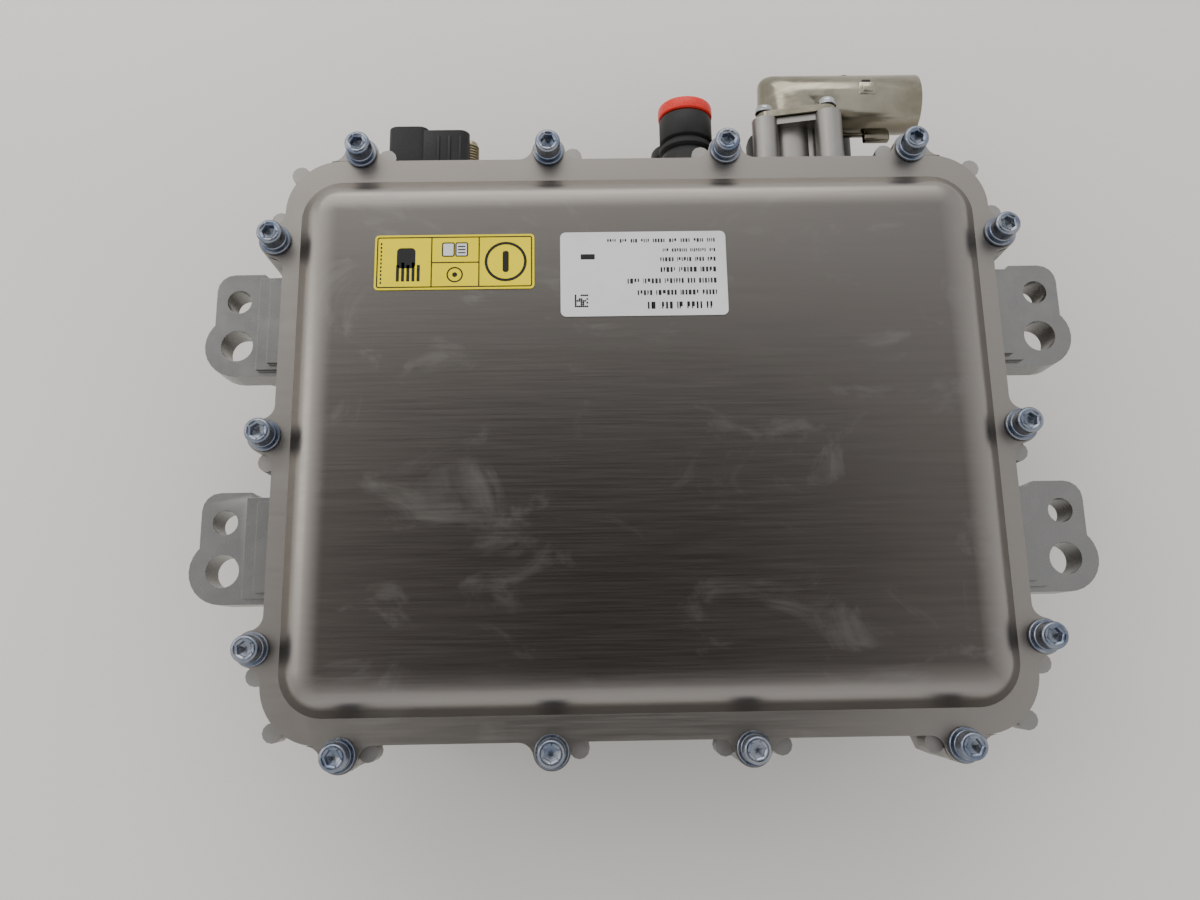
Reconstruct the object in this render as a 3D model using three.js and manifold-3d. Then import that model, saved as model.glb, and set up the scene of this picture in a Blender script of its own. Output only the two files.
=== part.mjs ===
// Sealed power inverter: a cast-aluminium casing with a pressed cover, a high-voltage elbow, a motor
// connector, a signal connector and two coolant ports on its back wall, and the power stage inside.
// Millimetres, +Z up. The origin is the centre of the underside. +X runs along the casing's length
// and +Y towards the back wall with the connectors.

import * as THREE from "three";
import { mergeVertices } from "three/addons/utils/BufferGeometryUtils.js";
import Module from "manifold-3d";

const wasm = await Module();
wasm.setup();

// ---------------------------------------------------------------- driving dimensions

const gap = 0.3; // clearance between touching pieces

// Casing
const casingHeight = 85; // machined flange face above the underside
const flangeThickness = 8;
const wallSetback = 7.1; // outer wall inside the cover's edge
const wallDraft = 1.8;
const wallThickness = 5;
const wallCornerRadius = 18;
const floorTop = 26;
const floorThickness = 4;
const padRadius = 3.7; // round ejector pads round the flange
const padOffset = 2.6;
const padDepth = 9;
const bossHeight = 30; // screw bosses below the flange
const backBossHeight = 11; // shorter above the connectors
const bossTaper = 14;
const plinthHeight = 9;
const plinthStep = 2;
const ribThickness = 3;
const ribDepth = 3.5;

// Cover
const coverLength = 283.2;
const coverWidth = 228.2;
const coverCornerRadius = 22;
const coverSheet = 1.8;
const gasketThickness = 0.6;
const gasketInset = 0.6;
const earOffset = 3.2; // screw axis outside the cover's edge
const earRadius = 6.8;
const earFillet = 5.5;
const slopeInsetX = 9.6; // edge of the flange to the foot of the raised part
const slopeInsetY = 12.5;
const slopeRun = 6.6;
const slopeRise = 7;
const slopeFootRadius = 11;
const panelRun = 6;
const panelRise = 1;

// Cover screws, M6 with a spring washer and a plain washer
const cornerScrewInsetX = 29.6;
const cornerScrewInsetY = 34.4;
const innerScrewX = 36.1;
const screwShankRadius = 3;
const screwShankLength = 16;
const screwHeadRadius = 5;
const screwHeadHeight = 6;
const socketFlats = 5;
const socketDepth = 3.2;
const springWasherRadius = 5.1;
const plainWasherRadius = 6.2;
const washerThickness = 1.6;

// Mounting lugs
const lugFromScrew = [30.7, 38.8]; // corner screw to the middle of a lug's holes, back and front
const lugHoleSpacing = 18.6;
const lugHoleOffset = 27.2; // from the wall
const lugSmallHoleRadius = 4.8;
const lugLargeHoleRadius = 6.3;
const lugDrop = 8; // below the flange face
const lugThickness = 13;
const lugLength = 36.5; // from the wall
const lugHalfWidth = 21;
const lugBulgeRadius = 12.8;
const lugCornerRadius = 7;
const lugGussetDrop = 24;

// Coolant channel and its welded cover plate
const channelInset = 37; // cavity wall to channel, along X
const channelInsetY = 39;
const channelWall = 6;
const plateThickness = 4;
const plateLip = 5;
const ductWall = 5; // round the coolant bores
const floorRib = 5;

// Coolant ports
const outletX = 24.5;
const outletDrop = 35; // below the flange face
const inletX = 23.2;
const inletZ = 18;
const boreRadius = 6;
const pipeRadius = 8;
const bootRadius = 11.8;
const portPad = 4; // cast pad behind each boot
const bootSkirtRadius = 12.8;
const bootBodyLength = 12; // the plain end that takes the plug
const outletLength = 46; // from the wall
const inletLength = 42;
const plugRadius = 12.2;
const plugRim = 5.6;
const plugSpigot = 6;
const riserX = [13, 61];
const riserDepth = 21.5;

// High-voltage elbow and the cast duct that carries it
const elbowX = 71.2;
const elbowDrop = 34; // axis below the flange face
const elbowRadius = 13;
const elbowWall = 2;
const elbowColumn = 14.5; // flange to the tube's axis
const elbowLength = 57.8;
const ductLength = 38; // from the wall
const elbowFlangeThickness = 3;
const ductShiftX = 3.2; // bolt pattern's centre beside the elbow's axis
const ductRise = 0.5;
const ductTilt = THREE.MathUtils.degToRad(12);
const ductBoltX = 13.5;
const ductBoltZ = 14;
const ductBossRadius = 5.8;
const ductBore = 10;
const elbowScrewRadius = 2.4;
const elbowScrewHead = 3.5;

// Motor connector
const motorX = 83.2;
const motorZ = 16.2;
const motorWidth = 49.5;
const motorHeight = 24.4;
const motorLength = 54; // from the wall
const motorWall = 3;
const motorCornerRadius = 9;
const phaseSpacing = 13;

// Signal connector and earth stud
const signalX = -87.5;
const signalWidth = 34;
const signalHeight = 28;
const signalDrop = 3; // below the flange's underside
const signalLength = 29; // from the wall
const signalWall = 2.2;
const signalCollar = 17;
const studX = -71;
const studDrop = 20;
const studRadius = 4;
const studLength = 27.5;

// Vent
const ventX = -74;
const ventZ = 48;
const ventRadius = 8.5;

// Labels
const labelThickness = 0.3;
const warningLabel = { x: -72.5, y: 66.3, length: 62, width: 22.6 };
const ratingLabel = { x: 0.9, y: 60.6, length: 64.6, width: 34.8 };

// Power stage
const moduleHeight = 14;
const boardThickness = 1.6;
const boardLift = 5.7; // driver board above the power modules
const controlDrop = 13; // control board below the flange face
const capacitorWidth = 54;
const busbarWidth = 11;
const busbarThickness = 2;
const phaseWidth = 8;
const postRadius = 4.5;
const partClearance = 5.5;

// ---------------------------------------------------------------- derived places

const halfLength = coverLength / 2;
const halfWidth = coverWidth / 2;
const gasketZ = casingHeight + gap;
const coverZ = gasketZ + gasketThickness + gap;
const coverTop = coverZ + coverSheet;
const panelTop = coverTop + slopeRise + panelRise;
const flangeZ = casingHeight - flangeThickness;
const wallX = halfLength - wallSetback;
const wallY = halfWidth - wallSetback;
const cavityX = wallX - wallThickness;
const cavityY = wallY - wallThickness;
const floorBottom = floorTop - floorThickness;
const channelX = cavityX - channelInset;
const channelY = cavityY - channelInsetY;
const outletZ = casingHeight - outletDrop;
const elbowZ = casingHeight - elbowDrop;
const ductX = elbowX + ductShiftX;
const ductZ = elbowZ + ductRise;
const signalTop = flangeZ - signalDrop;
const signalZ = signalTop - signalHeight / 2;
const studZ = casingHeight - studDrop;
const clearance = screwShankRadius + gap;
const lugTop = casingHeight - lugDrop;
const cornerScrewX = halfLength - cornerScrewInsetX;
const cornerScrewY = halfWidth - cornerScrewInsetY;
const lugY = [cornerScrewY - lugFromScrew[0], lugFromScrew[1] - cornerScrewY];
const lugHoleX = wallX + lugHoleOffset;
const lugReach = wallX + lugLength;
const outletTip = wallY + outletLength;
const inletTip = wallY + inletLength;
const elbowFlangeY = wallY + ductLength;
const elbowAxisY = elbowFlangeY + elbowColumn;
const elbowEnd = elbowX + elbowLength;
const motorTip = wallY + motorLength;
const signalTip = wallY + signalLength;
const studTip = wallY + studLength;

// ---------------------------------------------------------------- solids from geometry

// A closed geometry as a manifold-3d solid with its faces pointing out.
function solid(geometry) {
  const bare = geometry.clone();
  bare.deleteAttribute("normal");
  bare.deleteAttribute("uv");
  const merged = mergeVertices(bare, 1e-4);
  const points = new Float32Array(merged.attributes.position.array);
  const corners = merged.index.array;
  const triangles = [];
  const a = new THREE.Vector3();
  const b = new THREE.Vector3();
  const c = new THREE.Vector3();
  let volume = 0;
  for (let i = 0; i < corners.length; i += 3) {
    const [p, q, r] = [corners[i], corners[i + 1], corners[i + 2]];
    if (p === q || q === r || r === p) continue;
    a.fromArray(points, p * 3);
    b.fromArray(points, q * 3);
    c.fromArray(points, r * 3);
    volume += a.dot(b.cross(c));
    triangles.push(p, q, r);
  }
  if (volume < 0) triangles.reverse();
  const mesh = new wasm.Mesh({
    numProp: 3,
    vertProperties: points,
    triVerts: new Uint32Array(triangles),
  });
  return new wasm.Manifold(mesh);
}

function join(first, ...others) {
  return others.reduce((sum, other) => sum.add(other), first);
}

function cut(body, ...tools) {
  return tools.reduce((rest, tool) => rest.subtract(tool), body);
}

function block(x0, x1, y0, y1, z0, z1) {
  const geometry = new THREE.BoxGeometry(x1 - x0, y1 - y0, z1 - z0);
  return solid(geometry.translate((x0 + x1) / 2, (y0 + y1) / 2, (z0 + z1) / 2));
}

function extruded(shape, depth, fineness) {
  const options = { depth, bevelEnabled: false, curveSegments: fineness };
  return new THREE.ExtrudeGeometry(shape, options);
}

// A shape in the XY plane, from z0 up to z1.
function plate(shape, z0, z1, fineness = 2) {
  return solid(extruded(shape, z1 - z0, fineness).translate(0, 0, z0));
}

// A shape in the XZ plane, from y0 to y1.
function plateY(shape, y0, y1, fineness = 2) {
  const geometry = extruded(shape, y1 - y0, fineness);
  return solid(geometry.rotateX(Math.PI / 2).translate(0, y1, 0));
}

// A plate whose outline grows evenly by `grow` from z0 up to z1.
function flared(shape, z0, z1, grow, fineness = 2) {
  const options = {
    depth: 1,
    bevelThickness: z1 - z0,
    bevelSize: grow,
    bevelSegments: 1,
    curveSegments: fineness,
  };
  const whole = solid(new THREE.ExtrudeGeometry(shape, options).translate(0, 0, z1));
  const reach = 2 * (coverLength + coverWidth);
  return whole.intersect(block(-reach, reach, -reach, reach, z0 - 1, z1));
}

function rodX(y, z, radius, x0, x1, sides = 20) {
  const geometry = new THREE.CylinderGeometry(radius, radius, x1 - x0, sides);
  return solid(geometry.rotateZ(Math.PI / 2).translate((x0 + x1) / 2, y, z));
}

function rodY(x, z, radius, y0, y1, sides = 20) {
  const geometry = new THREE.CylinderGeometry(radius, radius, y1 - y0, sides);
  return solid(geometry.translate(x, (y0 + y1) / 2, z));
}

function rodZ(x, y, radius, z0, z1, sides = 16) {
  const geometry = new THREE.CylinderGeometry(radius, radius, z1 - z0, sides);
  return solid(geometry.rotateX(Math.PI / 2).translate(x, y, (z0 + z1) / 2));
}

function ball(x, y, z, radius) {
  return solid(new THREE.SphereGeometry(radius, 20, 12).translate(x, y, z));
}

// A turned piece on a vertical axis. The profile lists [radius, height].
function turned(profile, sides = 12) {
  const points = profile.map(([radius, height]) => new THREE.Vector2(radius, height));
  return new THREE.LatheGeometry(points, sides);
}

function turnedZ(profile, x, y, sides) {
  return solid(turned(profile, sides).rotateX(Math.PI / 2).translate(x, y, 0));
}

function turnedY(profile, x, z, sides) {
  return solid(turned(profile, sides).translate(x, 0, z));
}

// ---------------------------------------------------------------- outlines

function roundedRect(length, width, radius, x = 0, y = 0) {
  const a = length / 2 - radius;
  const b = width / 2 - radius;
  const shape = new THREE.Shape();
  shape.absarc(x + a, y - b, radius, -Math.PI / 2, 0);
  shape.absarc(x + a, y + b, radius, 0, Math.PI / 2);
  shape.absarc(x - a, y + b, radius, Math.PI / 2, Math.PI);
  shape.absarc(x - a, y - b, radius, Math.PI, 1.5 * Math.PI);
  shape.closePath();
  return shape;
}

// An ear round a screw, flared into a straight edge that lies `offset` behind the screw's axis.
function earShape(radius, offset, depth) {
  const rise = earFillet - offset;
  const reach = Math.sqrt((radius + earFillet) ** 2 - rise ** 2);
  const turn = Math.atan2(rise, reach);
  const shape = new THREE.Shape();
  shape.moveTo(-reach, -offset - depth);
  shape.lineTo(reach, -offset - depth);
  shape.absarc(reach, rise, earFillet, -Math.PI / 2, turn - Math.PI, true);
  shape.absarc(0, 0, radius, turn, Math.PI / 2, false);
  shape.absarc(0, 0, radius, Math.PI / 2, Math.PI - turn, false);
  shape.absarc(-reach, rise, earFillet, -turn, -Math.PI / 2, true);
  shape.closePath();
  return shape;
}

// Each screw's place, and the turn that faces its ear away from the cover.
const screwSeats = [
  ...[-cornerScrewX, -innerScrewX, innerScrewX, cornerScrewX].flatMap((x) => [
    { x, y: halfWidth + earOffset, turn: 0 },
    { x, y: -halfWidth - earOffset, turn: 180 },
  ]),
  ...[-cornerScrewY, 0, cornerScrewY].flatMap((y) => [
    { x: halfLength + earOffset, y, turn: -90 },
    { x: -halfLength - earOffset, y, turn: 90 },
  ]),
];

function atSeat(body, seat) {
  return body.rotate([0, 0, seat.turn]).translate([seat.x, seat.y, 0]);
}

// The cover's outline with its ears, drawn in by `inset`.
function earedPlate(inset, z0, z1) {
  const edge = roundedRect(
    coverLength - 2 * inset,
    coverWidth - 2 * inset,
    coverCornerRadius - inset,
  );
  const ear = plate(earShape(earRadius - inset, earOffset + inset, wallSetback), z0, z1);
  const ears = screwSeats.map((seat) => atSeat(ear, seat));
  return join(plate(edge, z0, z1), ...ears);
}

function screwHoles(radius, z0, z1) {
  return screwSeats.map((seat) => rodZ(seat.x, seat.y, radius, z0, z1, 12));
}

// ---------------------------------------------------------------- finishes

function finish(color, roughness, metalness) {
  return new THREE.MeshStandardMaterial({ color, roughness, metalness });
}

const castAluminium = finish(0x9a9890, 0.5, 0.9);
const brushedSteel = finish(0x87807a, 0.35, 0.95);
const zincSteel = finish(0x6f7787, 0.3, 0.95);
const nickelPlate = finish(0xc9c3ae, 0.28, 0.95);
const blackPlastic = finish(0x1b1c1b, 0.5, 0.0);
const blackRubber = finish(0x1f1f1e, 0.75, 0.0);
const redPlastic = finish(0xd02a20, 0.45, 0.0);
const copper = finish(0xb87650, 0.35, 0.95);
const brassPlate = finish(0xa08d5c, 0.4, 0.9);
const circuitBoard = finish(0x1f5a3a, 0.5, 0.1);
const sealant = finish(0x2c2c2e, 0.8, 0.0);
const yellowFilm = finish(0xe8cf2a, 0.5, 0.0);
const whiteFilm = finish(0xe6e4e0, 0.5, 0.0);
const ferrite = finish(0x2e2d30, 0.6, 0.1);
const greyPlastic = finish(0x55585c, 0.55, 0.0);

const group = new THREE.Group();

function add(name, body, material) {
  const made = body.getMesh();
  const geometry = new THREE.BufferGeometry();
  geometry.setAttribute("position", new THREE.BufferAttribute(made.vertProperties, 3));
  geometry.setIndex(new THREE.BufferAttribute(made.triVerts, 1));
  geometry.computeVertexNormals();
  const mesh = new THREE.Mesh(geometry, material);
  mesh.name = name;
  group.add(mesh);
}

// ---------------------------------------------------------------- casing

// Three bolts: the elbow's tube covers the fourth corner.
const ductBolts = [
  [-ductBoltX, ductBoltZ],
  [ductBoltX, ductBoltZ],
  [-ductBoltX, -ductBoltZ],
].map(([x, z]) => ({
  x: ductX + x * Math.cos(ductTilt) - z * Math.sin(ductTilt),
  z: ductZ + x * Math.sin(ductTilt) + z * Math.cos(ductTilt),
}));

// A rounded rectangle round the duct's bolt pattern, tilted with it, from y0 to y1.
function ductPlate(margin, radius, y0, y1) {
  const outline = roundedRect(2 * (ductBoltX + margin), 2 * (ductBoltZ + margin), radius);
  const flat = plateY(outline, y0, y1);
  return flat.rotate([0, -THREE.MathUtils.radToDeg(ductTilt), 0]).translate([ductX, 0, ductZ]);
}

function casingWalls() {
  const outer = roundedRect(
    2 * (wallX - wallDraft),
    2 * (wallY - wallDraft),
    wallCornerRadius,
  );
  const plinth = roundedRect(
    2 * (wallX - wallDraft + plinthStep),
    2 * (wallY - wallDraft + plinthStep),
    wallCornerRadius + plinthStep,
  );
  return join(flared(outer, 0, flangeZ, wallDraft), plate(plinth, 0, plinthHeight));
}

function flange() {
  const cornerX = halfLength - coverCornerRadius;
  const cornerY = halfWidth - coverCornerRadius;
  const diagonal = (coverCornerRadius + padOffset) * Math.SQRT1_2;
  const edgeX = halfLength + padOffset;
  const edgeY = halfWidth + padOffset;
  const besideScrew = 9.8;
  const pads = [
    ...[-1, 1].flatMap((sx) => [-1, 1].map((sy) => [sx * (cornerX + diagonal), sy * (cornerY + diagonal)])),
    ...[-1, 1].flatMap((side) => [-1, 0, 1].map((row) => [
      side * edgeX,
      row === 0 ? -besideScrew : row * (cornerScrewY + besideScrew),
    ])),
    ...[-1, 1].flatMap((side) => [side * (innerScrewX - besideScrew), side * (cornerScrewX - besideScrew)])
      .flatMap((x) => [[x, edgeY], [x, -edgeY]]),
    [innerScrewX + besideScrew + 1, -edgeY],
  ];
  const discs = pads.map(([x, y]) => rodZ(x, y, padRadius, casingHeight - padDepth, casingHeight, 12));
  return join(earedPlate(0, flangeZ, casingHeight), ...discs);
}

// A screw boss on the wall below one ear: a rounded column that tapers away downwards.
function screwBoss(height, taper) {
  const back = earOffset + wallSetback + wallThickness / 2;
  const foot = 3;
  const column = new THREE.Shape();
  column.moveTo(-earRadius, -back);
  column.lineTo(earRadius, -back);
  column.absarc(0, 0, earRadius, 0, Math.PI);
  column.closePath();
  const toe = roundedRect(foot, back - earRadius, 1, 0, -(back + earRadius) / 2);
  return join(
    plate(column, flangeZ - height, flangeZ + 1),
    flared(toe, flangeZ - height - taper, flangeZ - height, earRadius - foot / 2),
  );
}

// One mounting lug on the +X side, with its terraces up to the flange and its two gussets. It is
// cast with the wall in the real casing, and kept apart here so that its holes stay open.
function lug(middleY) {
  const inner = wallX - wallThickness / 2;
  const low = lugTop - lugThickness;
  const shoulder = 17.5;
  const tongue = new THREE.Shape();
  tongue.moveTo(inner, -lugHoleSpacing / 2);
  tongue.lineTo(lugReach, -lugHoleSpacing / 2);
  tongue.absarc(
    lugReach - lugCornerRadius,
    lugHalfWidth - lugCornerRadius,
    lugCornerRadius,
    0,
    Math.PI / 2,
  );
  tongue.lineTo(wallX + shoulder, lugHalfWidth);
  tongue.lineTo(wallX + shoulder - 4, shoulder);
  tongue.lineTo(inner, shoulder);
  tongue.closePath();
  const bulgeY = -lugHoleSpacing / 2;
  const body = join(
    plate(tongue, low, lugTop),
    rodZ(lugHoleX, bulgeY, lugBulgeRadius, low, lugTop, 28),
    block(inner, lugHoleX, bulgeY - lugBulgeRadius, bulgeY + 1, low, lugTop),
    block(inner, wallX + 18.5, -20, 18.5, low - 2, lugTop + 2.5),
    block(inner, wallX + 13.5, -18, 16.5, low - 2, lugTop + 5),
    lugGusset(-lugHalfWidth + 0.5),
    lugGusset(lugHalfWidth - 7),
  );
  const reach = 2 * lugHalfWidth;
  const clear = [
    block(0, wallX + gap, -reach, reach, 0, casingHeight),
    block(0, halfLength + gap, -reach, reach, flangeZ - gap, casingHeight),
    rodZ(lugHoleX, lugHoleSpacing / 2, lugSmallHoleRadius, low - 40, casingHeight, 24),
    rodZ(lugHoleX, -lugHoleSpacing / 2, lugLargeHoleRadius, low - 40, casingHeight, 24),
  ];
  return cut(body, ...clear).translate([0, middleY, 0]);
}

function lugGusset(y) {
  const low = lugTop - lugThickness;
  const side = new THREE.Shape();
  side.moveTo(wallX - wallThickness / 2, low - lugGussetDrop);
  side.lineTo(wallX + 3, low - lugGussetDrop);
  side.lineTo(lugReach - 12, low + 1);
  side.lineTo(wallX - wallThickness / 2, low + 1);
  side.closePath();
  return plateY(side, y, y + 4);
}

function wallRibs() {
  const along = [-88, -60, -12, 12, 60, 88];
  const across = [-12.5, 14];
  const top = flangeZ + 1;
  const ribs = along.map((x) => block(
    x - ribThickness / 2,
    x + ribThickness / 2,
    -wallY - ribDepth,
    -wallY + 2,
    plinthHeight - 1,
    top,
  ));
  for (const y of across) {
    for (const side of [-1, 1]) {
      const edge = side * (wallX + ribDepth);
      const root = side * (wallX - 2);
      ribs.push(block(
        Math.min(edge, root),
        Math.max(edge, root),
        y - ribThickness / 2,
        y + ribThickness / 2,
        plinthHeight - 1,
        top,
      ));
    }
  }
  return ribs;
}

// The cast duct on the back wall that the elbow bolts to, and the blocks the coolant ports sit on.
function backWallBlocks() {
  const bosses = ductBolts.map((bolt) => rodY(
    bolt.x,
    bolt.z,
    ductBossRadius,
    wallY - wallThickness / 2,
    elbowFlangeY,
    16,
  ));
  return [
    ductPlate(-5, 2, wallY - wallThickness / 2, elbowFlangeY),
    ductPlate(2.2, 3, elbowFlangeY - elbowFlangeThickness, elbowFlangeY),
    rodY(elbowX, elbowZ, ductBore + elbowWall, wallY - wallThickness / 2, elbowFlangeY, 28),
    ...bosses,
    rodY(outletX, outletZ, bootRadius + 3, wallY - wallThickness / 2, wallY + portPad, 28),
    rodY(inletX, inletZ, bootRadius + 2, wallY - wallThickness / 2, wallY + portPad, 28),
  ];
}

// Ducts cast on the floor, which join the ports to the channel.
function coolantDucts() {
  const duct = boreRadius + ductWall;
  const end = cavityY - gap;
  return [
    block(inletX - duct, inletX + duct, channelY, end, inletZ - duct, inletZ + duct),
    block(riserX[0], riserX[1], cavityY - riserDepth, end, 6, outletZ + duct),
  ];
}

function coolantBores() {
  const dropX = riserX[1] - 11;
  const boreY = cavityY - riserDepth / 2;
  const crossZ = floorTop + boreRadius + 2;
  const low = 13;
  const past = boreRadius / 2;
  return [
    rodY(inletX, inletZ, boreRadius, channelY - 1, wallY + 10, 16),
    rodY(outletX, outletZ, boreRadius, boreY - past, wallY + 10, 16),
    rodZ(outletX, boreY, boreRadius, crossZ - past, outletZ + past, 12),
    rodX(boreY, crossZ, boreRadius, outletX - past, dropX + past, 12),
    rodZ(dropX, boreY, boreRadius, low - past, crossZ + past, 12),
    rodY(dropX, low, boreRadius, channelY - 1, boreY + past, 12),
  ];
}

function portSeats() {
  return [
    rodY(outletX, outletZ, pipeRadius + gap, wallY - 2, wallY + 10, 24),
    rodY(inletX, inletZ, pipeRadius + gap, wallY - 2, wallY + 10, 24),
  ];
}

// Ribs under the floor, between the channel's wall and the casing.
function floorRibs() {
  const outY = cavityY - gap;
  const endX = channelX + channelWall;
  const endY = channelY + channelWall / 2;
  return [
    block(-endX, -endX + floorRib, -outY, outY, 0, floorBottom + 1),
    block(endX - floorRib, endX, -outY, -endY, 0, floorBottom + 1),
  ];
}

const motorWell = {
  x0: motorX - phaseSpacing - phaseWidth / 2 - 4,
  x1: motorX + phaseSpacing + phaseWidth / 2 + 4,
  y0: cavityY - 27,
  z0: motorZ - 8,
};

function motorWellWalls() {
  return block(
    motorWell.x0 - 4,
    motorWell.x1 + 4,
    motorWell.y0 - 4,
    cavityY - gap,
    motorWell.z0 - 4,
    floorTop,
  );
}

const signalWindow = { halfWidth: 12.5, halfHeight: 9 };
const motorWindow = { halfWidth: 20.5, halfHeight: 8 };

function wallOpenings() {
  return [
    block(
      motorX - motorWindow.halfWidth,
      motorX + motorWindow.halfWidth,
      cavityY - 1,
      wallY + 3,
      motorZ - motorWindow.halfHeight,
      motorZ + motorWindow.halfHeight,
    ),
    block(
      signalX - signalWindow.halfWidth,
      signalX + signalWindow.halfWidth,
      cavityY - 1,
      wallY + 1,
      signalZ - signalWindow.halfHeight,
      signalZ + signalWindow.halfHeight,
    ),
    rodY(elbowX, elbowZ, ductBore, cavityY - 1, elbowFlangeY + 1, 24),
    rodY(studX, studZ, studRadius + gap, wallY - 3.7, wallY + 1),
    rodY(ventX, ventZ, 4 + gap, -wallY - 5, -cavityY + 1),
    ...ductBolts.map((bolt) => rodY(
      bolt.x,
      bolt.z,
      elbowScrewRadius + gap,
      elbowFlangeY - 12,
      elbowFlangeY + 1,
      12,
    )),
  ];
}

// Posts that carry the boards: driver posts stand on the floor, control posts lean on the walls.
const moduleTop = floorTop + gap + moduleHeight;
const driverZ = moduleTop + boardLift;
const controlZ = casingHeight - controlDrop;
const shieldZ = (driverZ + boardThickness + controlZ) / 2;
const capacitorFront = -cavityY + partClearance;
const capacitorBack = capacitorFront + capacitorWidth;
const laneStart = cavityY - 59.5; // first phase bar's lane behind the modules
const moduleFront = capacitorBack + 8;
const moduleBack = laneStart - 12;
const driverBoardX = cavityX - 39.5;
const driverPostX = driverBoardX - postRadius;
const shieldX = driverBoardX + 12;
const shieldPostX = shieldX - postRadius;
const driverPosts = [moduleFront + 4, moduleBack - 4];
const controlPosts = [-cavityY + 17, 0, cavityY - 17];

function boardPosts() {
  const posts = [];
  for (const side of [-1, 1]) {
    for (const y of driverPosts) {
      posts.push(rodZ(side * driverPostX, y, postRadius, floorTop - 1, driverZ - gap));
      posts.push(rodZ(side * shieldPostX, y, postRadius - 0.5, floorTop - 1, shieldZ - gap));
    }
    for (const y of controlPosts) {
      const post = rodZ(side * (cavityX - 5.5), y, postRadius + 0.5, floorTop - 1, controlZ - gap);
      const webX = [side * (cavityX - 5.5), side * (cavityX - gap)];
      posts.push(post, block(
        Math.min(...webX),
        Math.max(...webX),
        y - 2.5,
        y + 2.5,
        floorTop - 1,
        controlZ - 6,
      ));
    }
  }
  return posts;
}

const cavityCorner = wallCornerRadius - wallThickness;

// The casing's walls and flange. The floor is its own solid, though both are one casting.
function casing() {
  const boss = screwBoss(bossHeight, bossTaper);
  const backBoss = screwBoss(backBossHeight, bossTaper / 2);
  return cut(
    join(
      casingWalls(),
      flange(),
      ...screwSeats.map((seat) => atSeat(seat.y > halfWidth ? backBoss : boss, seat)),
      ...wallRibs(),
      ...backWallBlocks(),
    ),
    plate(roundedRect(2 * cavityX, 2 * cavityY, cavityCorner), -1, casingHeight + 1),
    ...coolantBores(),
    ...portSeats(),
    ...wallOpenings(),
    ...screwHoles(clearance, casingHeight - screwShankLength - 2, casingHeight + 1),
  );
}

function casingFloor() {
  const edge = roundedRect(2 * (cavityX - gap), 2 * (cavityY - gap), cavityCorner - gap);
  const ring = roundedRect(2 * (channelX + channelWall), 2 * (channelY + channelWall), 10);
  const recess = roundedRect(2 * (channelX + plateLip), 2 * (channelY + plateLip), 9);
  const portMiddle = (inletX + riserX[1] - boreRadius - ductWall) / 2;
  const channel = cut(
    block(-channelX, channelX, -channelY, channelY, plateThickness + gap, floorBottom),
    block(-channelX, channelX * 0.6, -1.5, 1.5, plateThickness + gap, floorBottom),
    block(portMiddle - 1.5, portMiddle + 1.5, 0, channelY, plateThickness + gap, floorBottom),
  );
  return cut(
    join(
      plate(edge, floorBottom, floorTop),
      plate(ring, 0, floorBottom + 1),
      ...floorRibs(),
      ...coolantDucts(),
      ...boardPosts(),
      motorWellWalls(),
    ),
    channel,
    plate(recess, -1, plateThickness + gap),
    ...coolantBores(),
    block(motorWell.x0, motorWell.x1, motorWell.y0, cavityY, motorWell.z0, floorTop + 1),
  );
}

function coolantPlate() {
  const outline = roundedRect(
    2 * (channelX + plateLip - gap),
    2 * (channelY + plateLip - gap),
    9 - gap,
  );
  return plate(outline, 0, plateThickness);
}

// ---------------------------------------------------------------- cover, gasket and screws

// The raised part of the cover: a slope up to a shoulder, then a gentle rise to the flat panel.
function raisedPart(base) {
  const shoulderX = slopeInsetX + slopeRun;
  const shoulderY = slopeInsetY + slopeRun;
  const shoulder = roundedRect(
    coverLength - 2 * shoulderX,
    coverWidth - 2 * shoulderY,
    slopeFootRadius - slopeRun + 1,
  );
  const panel = roundedRect(
    coverLength - 2 * (shoulderX + panelRun),
    coverWidth - 2 * (shoulderY + panelRun),
    3.5,
  );
  const slope = flared(shoulder, 0, slopeRise, slopeRun).mirror([0, 0, 1]);
  const rise = flared(panel, 0, panelRise, panelRun).mirror([0, 0, 1]);
  return join(
    slope.translate([0, 0, base + slopeRise]),
    rise.translate([0, 0, base + slopeRise + panelRise]),
  );
}

function topCover() {
  const overlap = 0.05;
  const mouth = roundedRect(
    coverLength - 2 * (slopeInsetX + overlap),
    coverWidth - 2 * (slopeInsetY + overlap),
    slopeFootRadius,
  );
  const inside = join(raisedPart(coverZ), plate(mouth, coverZ - 1, coverZ + overlap));
  return cut(
    join(earedPlate(0, coverZ, coverTop), raisedPart(coverTop)),
    inside,
    ...screwHoles(clearance, coverZ - 1, coverTop + 1),
  );
}

function coverGasket() {
  const opening = roundedRect(2 * cavityX + 2, 2 * cavityY + 2, wallCornerRadius - wallThickness + 1);
  return cut(
    earedPlate(gasketInset, gasketZ, gasketZ + gasketThickness),
    plate(opening, gasketZ - 1, gasketZ + 2),
    ...screwHoles(clearance, gasketZ - 1, gasketZ + 2),
  );
}

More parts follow.
